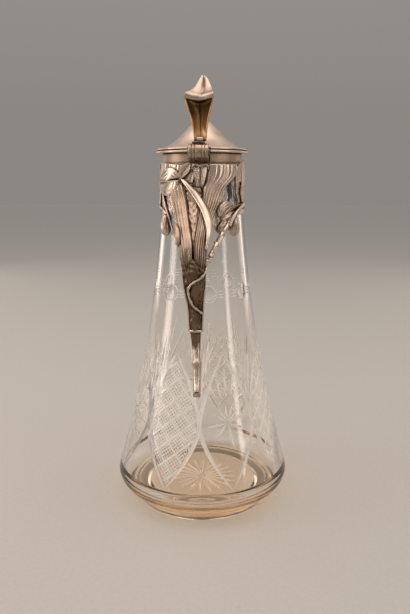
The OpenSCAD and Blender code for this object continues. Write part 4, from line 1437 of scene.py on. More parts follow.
@dataclass
class NeckMount:
    """The band and mouth ring on the neck with the openwork plant that grows over them."""

    finishes: Finishes
    mount: Mount

    def leaves(self) -> list[Leaf]:
        """The leaves on the band and over the glass."""
        top, low = self.mount.step_z, self.mount.band_z
        found = [
            Leaf("flap_leaf", ("spray_left",), (
                (-42.5, top - 0.6, 0.2, 12.6), (-43, top - 4, 0.5, 13.0), (-43, low + 4.5, 0.9, 13.0),
                (-42.5, low + 1.6, 1.5, 12.8), (-42, low - 0.2, 2.7, 12.2), (-41.5, low - 0.6, 3.9, 11.4),
                (-41.5, low + 0.3, 4.5, 10.8),
            ), cup=-0.02, fold=-0.25, veins=0, vein_depth=0.12, thickness=1.2),
            Leaf("calyx_leaf", (), (
                (1.5, top - 1.2, 0.1, 4.6), (1.7, top - 3, 0.1, 5.0), (1.6, top - 7, 0.4, 4.8),
                (1.2, top - 13, 0.7, 3.8), (0.8, top - 19, 0.8, 2.6), (0.6, top - 27, 0.9, 0.5),
            ), cup=0.5, fold=0.5, veins=5, vein_depth=0.14),
            Leaf("feather_leaf", (), (
                (-11.5, top - 0.8, 0.9, 1.6), (-15, top - 3.5, 1.3, 3.4), (-19.5, top - 7, 1.5, 3.5),
                (-23.5, top - 10.5, 1.4, 2.3), (-25.5, top - 12.6, 1.0, 0.5),
            ), cup=0.3, fold=0.6, veins=9, vein_depth=0.4),
            Leaf("small_curl_leaf", (), (
                (-7.5, top - 6.5, 0.8, 1.0), (-9, top - 10, 1.4, 2.2), (-10.5, top - 13.5, 1.6, 2.3),
                (-10, top - 17.5, 1.2, 0.8),
            ), cup=0.35, fold=0.5, veins=5, vein_depth=0.3),
            Leaf("curled_leaf", ("spray_right",), (
                (96, 246, 0.2, 1.4), (84, 247, 0.5, 2.9), (70, 246.8, 0.8, 3.9), (56, 246, 1.1, 4.0),
                (42, 244.8, 1.4, 3.6), (33, 242, 1.8, 2.6), (28, 238.6, 1.6, 1.1),
            ), cup=0.22, fold=0.6, veins=9),
            Leaf("leaf_end", (), (
                (47, 249.0, 1.4, 1.2), (39, 249.6, 1.9, 2.6), (32, 248.6, 2.5, 3.2), (27.5, 245.8, 2.7, 3.0),
                (25.5, 241.5, 2.0, 1.0),
            ), cup=-0.25, fold=0.35, veins=5),
            Leaf("small_leaf", (), (
                (37, 238.6, 1.6, 0.8), (32, 237.4, 2.0, 1.7), (27, 234.6, 2.2, 1.9), (22.5, 230.6, 1.8, 0.5),
            ), cup=0.2, fold=0.3, veins=4),
            Leaf("under_leaf", (), (
                (15, 259, 0.3, 2.4), (16.5, 252, 0.4, 5.4), (19, 244.5, 0.5, 6.2), (22, 237, 0.5, 4.6),
                (24.5, 229, 0.3, 0.8),
            ), cup=0.08, fold=0.4, veins=7),
            Leaf("right_rim_leaf", (), (
                (75, low - 24, 0.0, 3.4), (73, low - 15, 0.0, 7.4), (70.5, low - 4, 0.1, 9.6),
                (68.5, low + 5, 0.2, 10.0), (66, top - 3.5, 0.2, 9.4), (64, top - 0.6, 0.2, 8.2),
            ), cup=0.02, fold=0.7, veins=12, vein_depth=0.4, teeth=6, tooth=0.1, thickness=0.6),
            Leaf("left_rim_leaf", (), (
                (-88, low - 24, 0.0, 2.0), (-87, low - 15, 0.0, 5.0), (-86, low - 4, 0.0, 6.6),
                (-86, low + 5, 0.0, 6.4), (-85, top - 0.6, 0.0, 5.4),
            ), cup=0.0, fold=0.4, veins=9, vein_depth=0.3, teeth=5, tooth=0.1, thickness=0.5),
            Leaf("left_neck_leaf", (), (
                (-62, low + 0.5, 0.1, 9.0), (-60, low - 7, 0.1, 11.6), (-57, low - 14, 0.1, 11.6),
                (-52, low - 22, 0.1, 9.0), (-46, low - 31, 0.1, 4.4), (-42, low - 38, 0.1, 0.7),
            ), cup=0.0, fold=0.8, veins=11, vein_depth=0.4, teeth=5, tooth=0.12, thickness=0.5),
            Leaf("left_apron", (), (
                (-34, low + 1, 0.0, 9.0), (-33, low - 8, 0.0, 8.6), (-30, low - 18, 0.0, 6.8),
                (-27, low - 27, 0.0, 4.6), (-25, low - 36, 0.0, 1.0),
            ), cup=0.0, fold=0.5, veins=9, vein_depth=0.4),
            Leaf("middle_apron", (), (
                (-3, low + 2, 0.3, 11.0), (-2, low - 6, 0.1, 11.4), (1, low - 15, 0.0, 10.6),
                (3, low - 25, 0.0, 8.0), (4, low - 34, 0.0, 4.6), (5, low - 41, 0.0, 0.8),
            ), cup=0.0, fold=0.4, veins=8, vein_depth=0.4),
            Leaf("right_apron", (), (
                (23, low + 1, 0.1, 5.0), (22.5, low - 7, 0.1, 5.6), (23, low - 14, 0.1, 6.4),
                (24, low - 22, 0.0, 5.4), (24, low - 31, 0.0, 0.8),
            ), cup=0.0, fold=0.4, veins=7, vein_depth=0.4),
        ]
        for side, label in ((-1, "left"), (1, "right")):
            found.append(Leaf(f"side_leaf_{label}", (), (
                (side * 110, 240, 0.0, 1.0), (side * 112, 248, 0.1, 5.0), (side * 110, 258, 0.2, 7.4),
                (side * 107, low + 2, 0.3, 7.6), (side * 104, low + 8, 0.2, 5.6),
                (side * 101, top - 0.8, 0.2, 1.8),
            ), cup=0.0, fold=0.6, veins=10, vein_depth=0.3, teeth=6, thickness=0.5))
        for side, label in ((1, "left"), (-1, "right")):
            found.append(Leaf(f"spout_leaf_{label}", (f"spray_front_{label}",), (
                (180 + side * 24, top - 1.2, 0.5, 1.6), (180 + side * 31, top - 5, 0.7, 6.2),
                (180 + side * 38, low + 3, 0.9, 8.6), (180 + side * 43, low - 3, 1.2, 6.4),
                (180 + side * 47, low - 10, 1.4, 3.4), (180 + side * 49, low - 15, 1.0, 0.8),
            ), cup=0.1, fold=0.8, veins=9, teeth=6))
            found.append(Leaf(f"spout_curl_{label}", (), (
                (180 + side * 34, 256.5, 0.4, 0.8), (180 + side * 24, 253.4, 0.6, 2.6),
                (180 + side * 12, 250.6, 0.8, 3.4), (180 + side * 3, 249.8, 0.8, 2.8),
            ), cup=0.18, fold=0.5, veins=7))
        found.append(Leaf("spout_tongue", ("spray_front",), (
            (180, top - 2.6, 0.5, 2.4), (180, top - 8, 0.8, 4.6), (180, low - 2, 1.0, 4.4),
            (180, low - 10, 0.9, 3.0), (180, low - 17.5, 0.6, 0.7),
        ), cup=0.14, fold=0.7, veins=8, teeth=5))
        return found

    def stems(self) -> list[Stem]:
        """The stems that carry the leaves and buds."""
        top, low = self.mount.step_z, self.mount.band_z
        found = [
            Stem("calyx_arch", ("calyx",), (
                (-8.5, top - 5.5, 1.4, 0.5), (-6.8, top - 2.2, 2.2, 0.8), (-2.5, top - 1.4, 2.9, 0.9),
                (1.6, top - 2.6, 3.1, 0.9), (5.8, top - 1.4, 2.9, 0.9), (10.2, top - 2.2, 2.2, 0.8),
                (11.8, top - 5.5, 1.4, 0.5),
            )),
            Stem("crossing_stem_left", (), (
                (-66, low - 2, 0.2, 0.9), (-61, low - 10, 0.3, 1.0), (-52, low - 19, 0.4, 1.0),
                (-44, low - 27, 0.5, 1.0), (-37, low - 35, 0.6, 0.9), (-33, low - 42, 0.6, 0.5),
            ), knots=4),
            Stem("second_stem_left", (), (
                (-58, low - 3, 0.9, 0.7), (-60, low - 9, 0.4, 0.9), (-58.5, low - 16, 0.3, 0.9),
                (-52, low - 24, 0.2, 0.9), (-48.5, 243, 0.3, 0.9),
            )),
            Stem("bud_stem_left", (), (
                (-96, 252, 0.0, 0.5), (-84, 249.5, 0.0, 0.8), (-68, 247.5, 0.2, 1.2), (-56, 245.6, 0.4, 1.3),
                (-48, 242.4, 0.4, 1.1),
            )),
            Stem("post_left", (), (
                (-70, low - 1, 0.2, 0.8), (-70, low - 7, 0.2, 1.0), (-71, 254, 0.2, 1.0),
                (-72, 247.6, 0.2, 0.9),
            ), knots=3),
            Stem("post_right", (), (
                (66, low - 1, 0.4, 1.0), (67, low - 7, 0.3, 1.2), (69, 254, 0.2, 1.1), (72, 247, 0.3, 1.0),
            ), knots=3),
            Stem("bud_stem_right", (), (
                (92, 251, 0.3, 0.8), (80, 251, 0.9, 1.1), (66, 249.6, 1.8, 1.3), (55, 246.8, 2.6, 1.4),
                (47, 243.4, 2.8, 1.6), (41, 239, 2.4, 1.7), (36.5, 234, 2.4, 1.7),
            )),
            Stem("bud_hook_right", (), (
                (53, 246, 1.4, 1.0), (50.5, 244.2, 1.6, 1.2), (48.5, 241.6, 1.0, 1.1),
            ), rings=12),
        ]
        for side, label in ((1, "left"), (-1, "right")):
            found.append(Stem(f"spout_stem_{label}", (), (
                (180 + side * 40, low - 4, 0.4, 1.4), (180 + side * 43.5, low - 12, 0.2, 1.3),
                (180 + side * 41, 249, 0.2, 1.2), (180 + side * 37, 243, 0.3, 1.0),
            ), knots=3))
        return found

    def build(self) -> None:
        """Builds the band, the mouth ring, the spout and the plant."""
        refine_node("neck_band", "band_and_mouth_ring", JUG, self.finishes.band)
        refine_node("spout", "pouring_spout", JUG, self.finishes.turned, 40)
        for leaf in self.leaves():
            leaf.build(self.finishes.leaf, self.mount)
        for stem in self.stems():
            stem.build(self.finishes.casting, self.mount)
        for node, angle, twist in (
            ("bud_left", -47, 60), ("bud_right", 47, -60),
            ("bud_front_left", -143, 60), ("bud_front_right", 143, -60),
        ):
            Bud(f"{node}_wrapped", node, angle, twist).build(self.finishes.casting, self.mount)
        dress_node("plaster_bed", self.finishes.plaster)


@dataclass
class Handle:
    """The handle: two stalks and a web between them that join in a grip, with a cut tail and a vine.

    Args:
        bow_r: how far the middle of the handle is from the jug's axis, in mm.
        join_z: height at which the stalks go into the grip.
        grip_z: height of the grip's lower end.
        grip_w: the width that the shares of the stalks and the grip are of.
        tail_y: how far the tail's end is from the axis.
        tail_z: its height.
        tail_x: its place to the side.
        painted_shade_h: height of the painted shade, in the dark grip finish, at the top of the tail.
        stalk_off: how far the stalks' roots stand off the band.
        grip_shape: angle, width as a share, distance inside the bow and half thickness, in even steps
            from the join down to the grip's lower end.
    """

    finishes: Finishes
    mount: Mount
    bow_r: float = 65.6
    join_z: float = 214.0
    grip_z: float = 157.0
    grip_w: float = 9.6
    tail_y: float = 70.0
    tail_z: float = 111.0
    tail_x: float = 0.6
    painted_shade_h: float = 14.0
    stalk_off: float = 2.6
    grip_shape: Rows = (
        (-1.95, 1.0, 0.0, 5.8), (-1.1, 0.89, 0.5, 5.8), (-1.1, 0.78, 3.1, 5.6),
        (-0.9, 0.63, 6.5, 5.3), (-1.0, 0.56, 9.3, 5.0), (-1.1, 0.545, 11.0, 4.8),
    )

    @property
    def root_z(self) -> float:
        """Height of the stalks' roots, just under the band's lower edge."""
        return self.mount.band_z - 1.6

    @property
    def hidden_z(self) -> float:
        """Height at which the stalks end, inside the grip."""
        return self.join_z - 10

    def stalk(self, rows: Rows, top: float, bottom: float) -> Rows:
        """Turns shares of a stalk's height, width and reach into millimetres."""
        root_r = self.mount.band_r + self.stalk_off
        return [
            (mix(top, bottom, s), a, w * self.grip_w, mix(root_r, self.bow_r, r), t)
            for s, a, w, r, t in rows
        ]

    def stalks(self) -> list[Casting]:
        """The left stalk with its bract, and the web between the stalks."""
        return [
            Casting("left_stalk", ("stalk_left",), self.stalk((
                (0.0, -30.8, 0.72, -0.02, 1.5), (0.04, -29.5, 0.76, 0.0, 2.2), (0.2, -22.4, 0.67, 0.1, 2.9),
                (0.42, -13.8, 0.57, 0.4, 3.9), (0.65, -7.6, 0.55, 0.8, 4.8), (0.75, -6.6, 0.56, 0.94, 5.2),
                (0.85, -6.0, 0.52, 0.985, 5.0), (1.0, -4.6, 0.4, 0.94, 3.8),
            ), self.root_z, self.hidden_z), flutes=2.5, flute_depth=0.24),
            Casting("stalk_web_beaded", ("stalk_web",), self.stalk((
                (0.06, -8.0, 0.66, -0.02, 0.8), (0.18, -6.0, 0.7, 0.03, 1.3), (0.31, -4, 0.58, 0.14, 1.4),
                (0.485, -3.6, 0.4, 0.36, 1.5), (0.625, -2.7, 0.3, 0.56, 1.5), (0.76, -2.2, 0.26, 0.76, 1.6),
                (0.88, -1.8, 0.22, 0.9, 1.8), (1.0, -1.6, 0.2, 0.94, 1.8),
            ), self.root_z, self.join_z), rings=64, sides=40, bark=0.8, bark_scale=0.9),
            Casting("side_bract", (), self.stalk((
                (0.55, -16.5, 0.06, 0.66, 0.8), (0.62, -14.6, 0.2, 0.76, 1.8), (0.7, -13.4, 0.27, 0.86, 2.4),
                (0.79, -12.2, 0.22, 0.93, 2.2), (0.88, -10.4, 0.1, 0.96, 1.0),
            ), self.root_z, self.join_z), flutes=1.0, flute_depth=0.14, rings=24, sides=28),
        ]

    def raised(self) -> list[Casting]:
        """The fan leaf and the stem that crosses the stalks, in the paler casting finish."""
        return [
            Casting("fan_leaf", ("leaf_right",), self.stalk((
                (0.0, 33, 1.34, -0.055, 0.8), (0.06, 32.5, 1.36, -0.045, 1.1), (0.115, 30.5, 1.3, -0.04, 1.2),
                (0.165, 25.5, 1.08, -0.03, 1.3), (0.24, 18.6, 0.84, 0.015, 1.7),
                (0.37, 12.6, 0.66, 0.15, 2.5),
                (0.53, 6.4, 0.53, 0.43, 3.5), (0.71, 3.6, 0.53, 0.79, 4.5), (0.86, 2.8, 0.49, 0.975, 4.9),
                (1.0, 2.4, 0.4, 0.94, 3.8),
            ), self.mount.step_z - 1, self.hidden_z), flutes=3.5, flute_depth=0.3, sides=72),
            Casting("middle_ridge", ("stalk_middle",), self.stalk((
                (0.0, -20, 0.16, 0.035, 0.9), (0.06, -14.5, 0.25, 0.08, 1.4), (0.16, -7.2, 0.3, 0.15, 1.8),
                (0.3, 0.4, 0.3, 0.27, 1.9), (0.45, 5.8, 0.29, 0.44, 1.9), (0.64, 8.6, 0.25, 0.68, 1.7),
                (0.84, 7.9, 0.16, 0.93, 1.3), (1.0, 6.2, 0.07, 1.07, 0.6),
            ), self.root_z + 3, self.join_z + 6), sides=28),
        ]

    def grip(self) -> Casting:
        """The grip, from between the stalks down to its turned rim."""
        shape = self.grip_shape
        rows = [
            (self.join_z + 1.5, -2.0, 5.4, self.bow_r - 2.6, 1.2),
            (self.join_z - 1, -2.0, 7.6, self.bow_r - 1.4, 3.2),
            (self.join_z - 3.5, -1.8, 8.7, self.bow_r - 0.6, 4.6),
        ]
        for i, (angle, width, inside, depth) in enumerate(shape[1:], start=1):
            height = mix(self.join_z, self.grip_z, i / (len(shape) - 1))
            rows.append((height, angle, width * self.grip_w, self.bow_r - inside, depth))
        return Casting(
            "bark_grip", ("grip",), rows, flutes=1.0, flute_depth=0.1, rings=110, sides=96, bark=1.1,
            bark_scale=0.6,
        )

    def rim(self) -> Casting:
        """The rim round the grip's lower end, in the pale edge finish that partly paints its highlight."""
        angle, _, inside, depth = self.grip_shape[-1]
        width = self.grip_w * 0.55
        section = ((2.3, -0.3), (1.5, 0.7), (0.6, 0.7), (-0.1, 0.0))
        return Casting("grip_rim", (), [
            (self.grip_z + up, angle, width + out, self.bow_r - inside, depth + out) for up, out in section
        ], rings=12)

    def edges(self) -> list[Stem]:
        """The bright rolled edges of the sheet that the grip's lower half is bent from. Their pale finish
        partly paints the highlights along the grip's sides.
        """
        off, end, radius, tip = 0.5, 0.985, 0.65, 0.3
        found = []
        for label, turns, first in (
            ("left", (164, 160, 156, 152, 148), 0.22), ("right", (14, 18, 22, 26, 30), 0.3),
        ):
            rows = []
            for i, turn in enumerate(turns):
                down = mix(first, end, i / (len(turns) - 1))
                point = self.beside(turn, mix(self.join_z, self.grip_z, down), off)
                rows.append((*point, radius if i else tip))
            found.append(Stem(f"grip_edge_{label}", (), rows, on_neck=False, rings=60))
        return found

    def tail(self) -> bpy.types.Object:
        """The tail below the grip, with its knots and its rolled edges. Its top takes the dark grip finish,
        as painted shade under the grip's rim.
        """
        overlap, edge_in, edge_r, edge_tip, edge_h, painted_shade_v = 1, 1.0, 0.5, 0.3, 8, 2.0
        angle, _, inside, _ = self.grip_shape[-1]
        side = self.bow_r * math.sin(math.radians(angle))
        shape = (
            (0.0, 0.0, 4.0), (0.14, 0.0, 3.3), (0.3, 0.0, 2.9), (0.44, 0.12, 2.9),
            (0.52, 0.23, 3.6), (0.6, 0.29, 3.2), (0.74, 0.44, 2.9), (0.88, 0.66, 2.9),
            (1.0, 1.0, 2.8),
        )
        rows = [
            (
                mix(side, self.tail_x, down), -mix(self.bow_r - inside, self.tail_y, out),
                mix(self.grip_z, self.tail_z, down), radius,
            )
            for down, out, radius in shape
        ]
        x, y, _, radius = rows[0]
        rows[0] = (x, y, self.grip_z + overlap, radius)
        for label, way in (("left", -1), ("right", 1)):
            edge = [
                (x + way * r, y - edge_in, z, edge_r if z > self.grip_z - edge_h else edge_tip)
                for x, y, z, r in rows[:3]
            ]
            rolled = Stem(f"tail_edge_{label}", (), edge, on_neck=False, rings=16)
            rolled.build(self.finishes.edge, self.mount)
        stem = Stem("tail_stem", ("tail",), rows, on_neck=False, knots=5, knot=0.06, rings=56, sides=28)
        piece = stem.build(self.finishes.casting, self.mount)
        # the dark grip finish on the tail's top paints the shade under the grip's rim
        piece.data.materials.append(self.finishes.bark)
        for polygon in piece.data.polygons:
            x, _, z = polygon.center / MM
            painted_shade_z = self.grip_z - self.painted_shade_h + painted_shade_v * abs(x - side)
            polygon.material_index = int(z > painted_shade_z)
        return piece

    def cut_end(self) -> None:
        """The dark hollow and the bright lip at the tail's cut end."""
        bore, lip, depth, sides = 1.7, 2.5, 0.9, 32
        section = (
            (lip + 0.15, -0.5), (lip + 0.1, 0.15), (lip - 0.25, 0.4), (bore, 0.3), (bore - 0.2, -depth),
        )
        down = Vector((0.1, -1.0, -0.42)).normalized()
        centre = Vector((self.tail_x, -self.tail_y - 0.6, self.tail_z + 2.2))
        across = down.cross(Vector((1, 0, 0))).normalized()
        side = across.cross(down)
        turns = [2 * math.pi * k / sides for k in range(sides)]
        rows = [
            [centre + down * way + (side * math.cos(t) + across * math.sin(t)) * radius for t in turns]
            for radius, way in section
        ]
        bm = bmesh.new()
        skin(bm, rows)
        settle(make_object(bm, "tail_cut_end"), self.finishes.casting, JUG, ())

    def beside(self, turn: float, z: float, off: float) -> Vector:
        """A point that stands off the grip, by its turn from the right side to the front."""
        last = len(self.grip_shape) - 1
        way = last * min(1.0, max(0.0, (self.join_z - z) / (self.join_z - self.grip_z)))
        i = min(int(way), last - 1)
        angle, width, inside, depth = (
            mix(above, below, way - i)
            for above, below in zip(self.grip_shape[i], self.grip_shape[i + 1])
        )
        t = math.radians(turn)
        reach = self.bow_r - inside
        return Vector((
            reach * math.sin(math.radians(angle)) + (width * self.grip_w + off) * math.cos(t),
            -reach - (depth + off) * math.sin(t), z,
        ))

    def vine(self) -> Stem:
        """The thin vine that comes down from the right bud, with two beads, and winds over the grip."""
        way = (
            (0, 0.05), (10, 0.12), (30, 0.186), (55, 0.245), (85, 0.292), (108, 0.34), (122, 0.4),
            (125, 0.46), (120, 0.535), (103, 0.62), (78, 0.67), (50, 0.715), (26, 0.745),
        )
        start = (
            (41, 2.0, 240, 1.7), (36.5, 2.6, 235, 2.0), (26, 6.2, 229.1, 2.0), (18.5, 13.4, 224.5, 2.0),
            (13.4, 20.0, 220.2, 1.7), (10.6, 25.0, 217.4, 1.3), (9.6, 27.2, 215.4, 2.1),
            (9.0, 28.0, 213.4, 1.1),
        )
        off, bead, radius = 0.55, 1.8, 0.8
        rows = [(*around(a, self.mount.seat(z) + off, z), r) for a, off, z, r in start]
        for i, (turn, down) in enumerate(way):
            point = self.beside(turn, mix(self.join_z, self.grip_z, down), off)
            rows.append((*point, radius if i else bead))
        return Stem("winding_vine", ("vine",), rows, on_neck=False, knots=14, knot=0.5, rings=170)

    def build(self) -> None:
        """Builds the handle's pieces."""
        for casting in self.stalks():
            casting.build(self.finishes.stem)
        for casting in self.raised():
            casting.build(self.finishes.casting)
        for edge in self.edges():
            edge.build(self.finishes.edge, self.mount)
        # the grip's dark finish paints the shade of its downward faces
        self.grip().build(self.finishes.bark)
        self.rim().build(self.finishes.edge)
        self.tail()
        self.cut_end()
        self.vine().build(self.finishes.edge, self.mount)


@dataclass
class Thumbpiece:
    """The lily-like thumbpiece: a sheet that rises as a trough, folds over at the lip and ends in a petal.

    Args:
        wall: thickness of the sheet, in mm.
        spread: faces from its middle to an edge.
        steps: rows of faces along it.
        lip_row: the row at which the trough ends and the petal begins.
        tip_gap: how far the middle of the sheet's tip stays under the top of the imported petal, in mm.
    """

    finishes: Finishes
    wall: float = 1.3
    spread: int = 16
    steps: int = 96
    lip_row: int = 47
    tip_gap: float = 0.85

    def rows(self) -> Rows:
        """The sheet's rows, from its foot to its tip, in mm.

        Each has its reach from the axis, height, half width, how far its edges stand forward and up,
        and its place to the side. The table has a share of the way from foot to tip for the height.
        """
        low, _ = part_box("thumb_trough")
        _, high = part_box("thumb_petal")
        foot, tip = low.z / MM, high.z / MM - self.tip_gap
        table = (
            (36.4, 0.0, 4.9, 1.2, 0.0, 1.1), (34.6, 0.07, 5.1, 2.2, 0.0, 1.1),
            (31.8, 0.2, 5.9, 4.2, 0.0, 0.9), (28.9, 0.35, 7.4, 6.2, 0.1, 0.6),
            (26.9, 0.48, 9.3, 7.4, 0.5, 0.3), (26.6, 0.575, 10.5, 6.8, 1.4, 0.1),
            (28.8, 0.63, 10.9, 4.8, 2.2, 0.0), (32.2, 0.64, 11.1, 2.0, 2.8, 0.0),
            (34.4, 0.65, 11.0, 0.4, 3.0, 0.1), (33.9, 0.685, 10.3, 0.0, 2.6, 0.7),
            (31.0, 0.725, 8.3, 0.4, 1.8, 1.9), (27.6, 0.79, 6.5, 1.0, 1.2, 2.7),
            (24.4, 0.87, 4.9, 1.2, 0.6, 2.9), (21.2, 0.95, 3.1, 0.8, 0.1, 2.8),
            (19.6, 1.0, 1.2, 0.3, -0.3, 2.2),
        )
        return [(reach, mix(foot, tip, share), *rest) for reach, share, *rest in table]

    def build(self) -> None:
        """Builds the sheet and the scroll at its foot."""
        trough_groove, petal_groove = (0.55, 0.1), (1.5, 0.3)  # depth in mm, share of the half width
        bend, level_at = 1.8, 0.35
        rows = []
        for reach, z, half_width, forward, up, place in curve(self.rows(), self.steps):
            depth, width = petal_groove if len(rows) > self.lip_row else trough_groove
            row = []
            for k in range(2 * self.spread + 1):
                u = k / self.spread - 1
                groove = depth * math.exp(-((u / width) ** 2))
                row.append(Vector((
                    half_width * u + place, -reach - forward * abs(u) ** bend + groove,
                    z + up * (u * u - level_at),
                )))
            rows.append(row)
        bm = bmesh.new()
        skin(bm, rows, closed=False)
        piece = make_object(bm, "lily_thumbpiece", recalculate=False)
        thicken(piece, self.wall, side=-1.0)
        settle(piece, self.finishes.lily, LID, ("thumb_trough", "thumb_petal"))
        piece.data.materials.append(self.finishes.petal)
        per_row = 2 * self.spread
        for polygon in piece.data.polygons:
            polygon.material_index = int(polygon.index // per_row >= self.lip_row)
        refine_node("thumb_curl", "foot_scroll", LID, self.finishes.casting)


@dataclass
class Lid:
    """The spun lid with its rim, bezel and beak, and the hinge that carries it, in mm.

    Args:
        lid_r: radius of the rim.
        rim_t: height of the rim's inner part.
        inner_r: the rim's inner radius.
        cut_w: width of the cut beside the hinge.
        cut_y: how far that cut is from the axis.
        hinge_y: how far the hinge's axis is from the jug's.
        hinge_z: its height.
        barrel_r: radius of the knuckles.
        knuckles: their widths, from the left. Every second one is the lid's.
        side_gap: gap between two knuckles.
        crease: edges of a turned piece that turn by more than this many degrees stay crisp.
    """

    finishes: Finishes
    lid_r: float = 36.8
    rim_t: float = 2.6
    inner_r: float = 26.6
    cut_w: float = 17.4
    cut_y: float = 32.0
    hinge_y: float = 38.5
    hinge_z: float = 288.8
    barrel_r: float = 5.9
    knuckles: tuple[float, ...] = (2.5, 2.0, 5.2, 2.0, 2.5)
    side_gap: float = 0.15
    crease: float = 50.0

    def rim(self) -> bpy.types.Object:
        """The rim with its two beads and the deep groove between them, cut away beside the hinge."""
        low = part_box("lid_rim")[0].z / MM
        beads = ((0.9, 0.9, 0.9), (0.75, 1.5, 3.0))  # radius, how far inside the rim, height
        foot_in, groove_in, cut_depth, steps = 1.6, 3.2, 20.0, 10
        profile = [(self.inner_r, low), (self.lid_r - foot_in, low)]
        for radius, inside, height in beads:
            x, z = self.lid_r - inside, low + height
            turns = [math.radians(mix(-90, 90, i / steps)) for i in range(steps + 1)]
            profile += [(x + radius * math.cos(t), z + radius * math.sin(t)) for t in turns]
            profile.append((self.lid_r - groove_in, z + radius))
        profile.append((self.inner_r, low + self.rim_t))
        piece = make_object(spin_profile([(0, -r, z) for r, z in profile], 192), "beaded_rim")
        box = bmesh.new()
        bmesh.ops.create_cube(box, size=1.0)
        bmesh.ops.scale(box, vec=(self.cut_w, cut_depth, 4 * self.rim_t), verts=box.verts)
        bmesh.ops.translate(box, vec=(0, -self.cut_y - cut_depth / 2, low), verts=box.verts)
        cut_out(piece, make_object(box, "cut beside the hinge"))
        sharpen(piece.data, self.crease)
        return settle(piece, self.finishes.turned, LID, ("lid_rim",))

    def knuckle_bands(self) -> None:
        """The rounded bands on the knuckles, with a filed groove between each two."""
        height, groove, sunk, clear, steps = 0.28, 0.12, 0.15, 0.02, 8
        inner, outer = self.barrel_r - sunk, self.barrel_r + clear
        place = -(sum(self.knuckles) + 4 * self.side_gap) / 2
        for i, width in enumerate(self.knuckles):
            half = width / 2 - groove
            middle = place + width / 2
            place += width + self.side_gap
            turns = [math.pi * k / steps for k in range(1, steps)]
            profile = [
                (middle - half, inner), (middle - half, outer),
                *((middle - half * math.cos(t), outer + height * math.sin(t)) for t in turns),
                (middle + half, outer), (middle + half, inner),
            ]
            bm = spin_profile(
                [(x, -self.hinge_y - r, self.hinge_z) for x, r in profile], 72,
                centre=(0, -self.hinge_y, self.hinge_z), axis=(1, 0, 0),
            )
            piece = make_object(bm, f"knuckle_band_{i + 1}")
            sharpen(piece.data, self.crease)
            settle(piece, self.finishes.stem, LID if i % 2 else JUG, ())

    def build(self) -> None:
        """Builds the lid and the hinge."""
        turned = self.finishes.turned
        self.rim()
        refine_node("lid_cone", "spun_cone", LID, turned)
        refine_node("lid_bezel", "turned_bezel", LID, turned)
        refine_node("lid_beak", "spout_cover", LID, turned, 50)
        refine_node("lid_knuckles", "lid_knuckles_filed", LID, self.finishes.stem)
        refine_node("hinge_bracket", "jug_knuckles_filed", JUG, self.finishes.stem)
        self.knuckle_bands()
        dress_node("hinge_pin", self.finishes.steel)


# ---- Studio ------------------------------------------------------------------


@dataclass
class Softbox:
    """A soft lamp: its place and size in metres, its power in watts and its colour."""

    name: str
    place: tuple[float, float, float]
    size: tuple[float, float]
    power: float
    colour: str = "#fff1e6"

    def build(self, target: Vector) -> None:
        """Hangs the lamp and turns it to a target."""
        light = bpy.data.lights.new(self.name, "AREA")
        light.shape = "RECTANGLE"
        light.size, light.size_y = self.size
        light.energy = self.power
        light.color = srgb(self.colour)[:3]
        lamp = bpy.data.objects.new(self.name, light)
        lamp.location = self.place
        lamp.rotation_euler = (target - Vector(self.place)).to_track_quat("-Z", "Y").to_euler()
        bpy.context.scene.collection.objects.link(lamp)


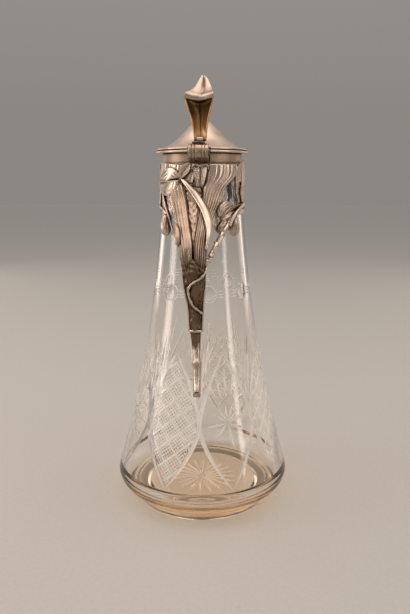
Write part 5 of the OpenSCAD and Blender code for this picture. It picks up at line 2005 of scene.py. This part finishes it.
@dataclass
class Studio:
    """A pale floor under soft light, and a camera where the photograph was taken from.

    Args:
        floor_mm: half the floor's width.
        backdrop: the backdrop's colour at the horizon.
        wall_top: its colour over the jug.
        overhead: its colour overhead.
        fill: strength of the even light from all round.
        azimuth: the camera's angle from the handle.
        distance: its distance from the jug's axis, in metres.
        height: its height, in metres.
        pitch: how far it looks down, in degrees.
        axis_px: column of the photograph in which the jug's axis lies.
        frame_width_px: the photograph's width.
        frame_height_px: its height.
        lens: focal length, in mm.
        sensor: width of the sensor, in mm.
        aim_z: height that the lamps are turned to, in metres.
    """

    floor_mm: float = 6000.0
    backdrop: str = "#8c8782"
    wall_top: str = "#948f8a"
    overhead: str = "#ded5cc"
    fill: float = 0.42
    azimuth: float = 4.0
    distance: float = 0.4918
    height: float = 0.2694
    pitch: float = 12.1
    axis_px: float = 202.3
    frame_width_px: float = 410.0
    frame_height_px: float = 614.0
    lens: float = 35.0
    sensor: float = 36.0
    aim_z: float = 0.17
    lamps: tuple[Softbox, ...] = (
        Softbox("left softbox", (-1.3, -0.3, 0.55), (0.45, 1.3), 7.0),
        Softbox("right strip", (1.25, -0.6, 0.5), (0.22, 1.2), 3.0),
        Softbox("top softbox", (0.0, -0.2, 1.5), (2.0, 1.0), 9.0),
        Softbox("front card", (-0.5, -1.4, 0.6), (0.5, 0.7), 1.3),
        Softbox("left rim card", (-1.05, 0.95, 0.5), (0.7, 1.0), 2.0),
        Softbox("right rim card", (1.05, 0.95, 0.5), (0.7, 1.0), 2.0),
    )

    def build_camera(self) -> None:
        """Sets up the camera."""
        turn = math.radians(self.azimuth)
        focal_px = self.lens / self.sensor * self.frame_height_px
        yaw = math.atan((self.frame_width_px / 2 - self.axis_px) / focal_px)
        data = bpy.data.cameras.new("camera")
        data.lens = self.lens
        data.sensor_width = self.sensor
        data.clip_start = 0.01
        camera = bpy.data.objects.new("camera", data)
        camera.location = (
            self.distance * math.sin(turn), -self.distance * math.cos(turn), self.height,
        )
        camera.rotation_euler = (math.radians(90 - self.pitch), 0, turn - yaw)
        bpy.context.scene.collection.objects.link(camera)
        bpy.context.scene.camera = camera

    def build_floor(self) -> None:
        """Lays the floor."""
        bm = bmesh.new()
        bmesh.ops.create_grid(bm, x_segments=1, y_segments=1, size=self.floor_mm)
        floor = make_object(bm, "floor", recalculate=False)
        floor.data.materials.append(MattPaper().build())

    def build_world(self) -> None:
        """Sets the backdrop that the camera, glass and metal see, and an even fill for the rest."""
        world = bpy.data.worlds.new("studio")
        world.use_nodes = True
        bpy.context.scene.world = world
        tree = world.node_tree
        tree.nodes.clear()
        output = tree.nodes.new("ShaderNodeOutputWorld")
        path = add_node(tree, "ShaderNodeLightPath").outputs
        seen = add_node(
            tree, "ShaderNodeMath", operation="MAXIMUM", _0=path["Is Glossy Ray"],
            _1=path["Is Transmission Ray"],
        ).outputs[0]
        seen = add_node(
            tree, "ShaderNodeMath", operation="MAXIMUM", _0=seen, _1=path["Is Camera Ray"],
        ).outputs[0]
        way = add_node(tree, "ShaderNodeTexCoord").outputs["Generated"]
        up = add_node(tree, "ShaderNodeSeparateXYZ", Vector=way).outputs["Z"]
        shade = ramp(tree, up, {0.1: self.backdrop, 0.28: self.wall_top, 0.7: self.overhead})
        backdrop = add_node(tree, "ShaderNodeBackground", Color=shade, Strength=1.0)
        even = add_node(tree, "ShaderNodeBackground", Color=srgb("#ffffff"), Strength=self.fill)
        both = add_node(tree, "ShaderNodeMixShader", _0=seen, _1=even.outputs[0], _2=backdrop.outputs[0])
        tree.links.new(both.outputs[0], output.inputs["Surface"])

    def build(self) -> None:
        """Builds the studio."""
        bpy.context.scene.view_settings.view_transform = "Standard"
        self.build_camera()
        self.build_floor()
        self.build_world()
        for lamp in self.lamps:
            lamp.build(Vector((0, 0, self.aim_z)))


def main() -> None:
    """Builds the studio and every piece of the jug."""
    logging.basicConfig(level=logging.INFO, format="%(message)s")
    Studio().build()
    finishes = Finishes()
    mount = Mount()
    GlassBody(finishes).build()
    NeckMount(finishes, mount).build()
    Handle(finishes, mount).build()
    Lid(finishes).build()
    Thumbpiece(finishes).build()


if __name__ == "__main__":
    main()
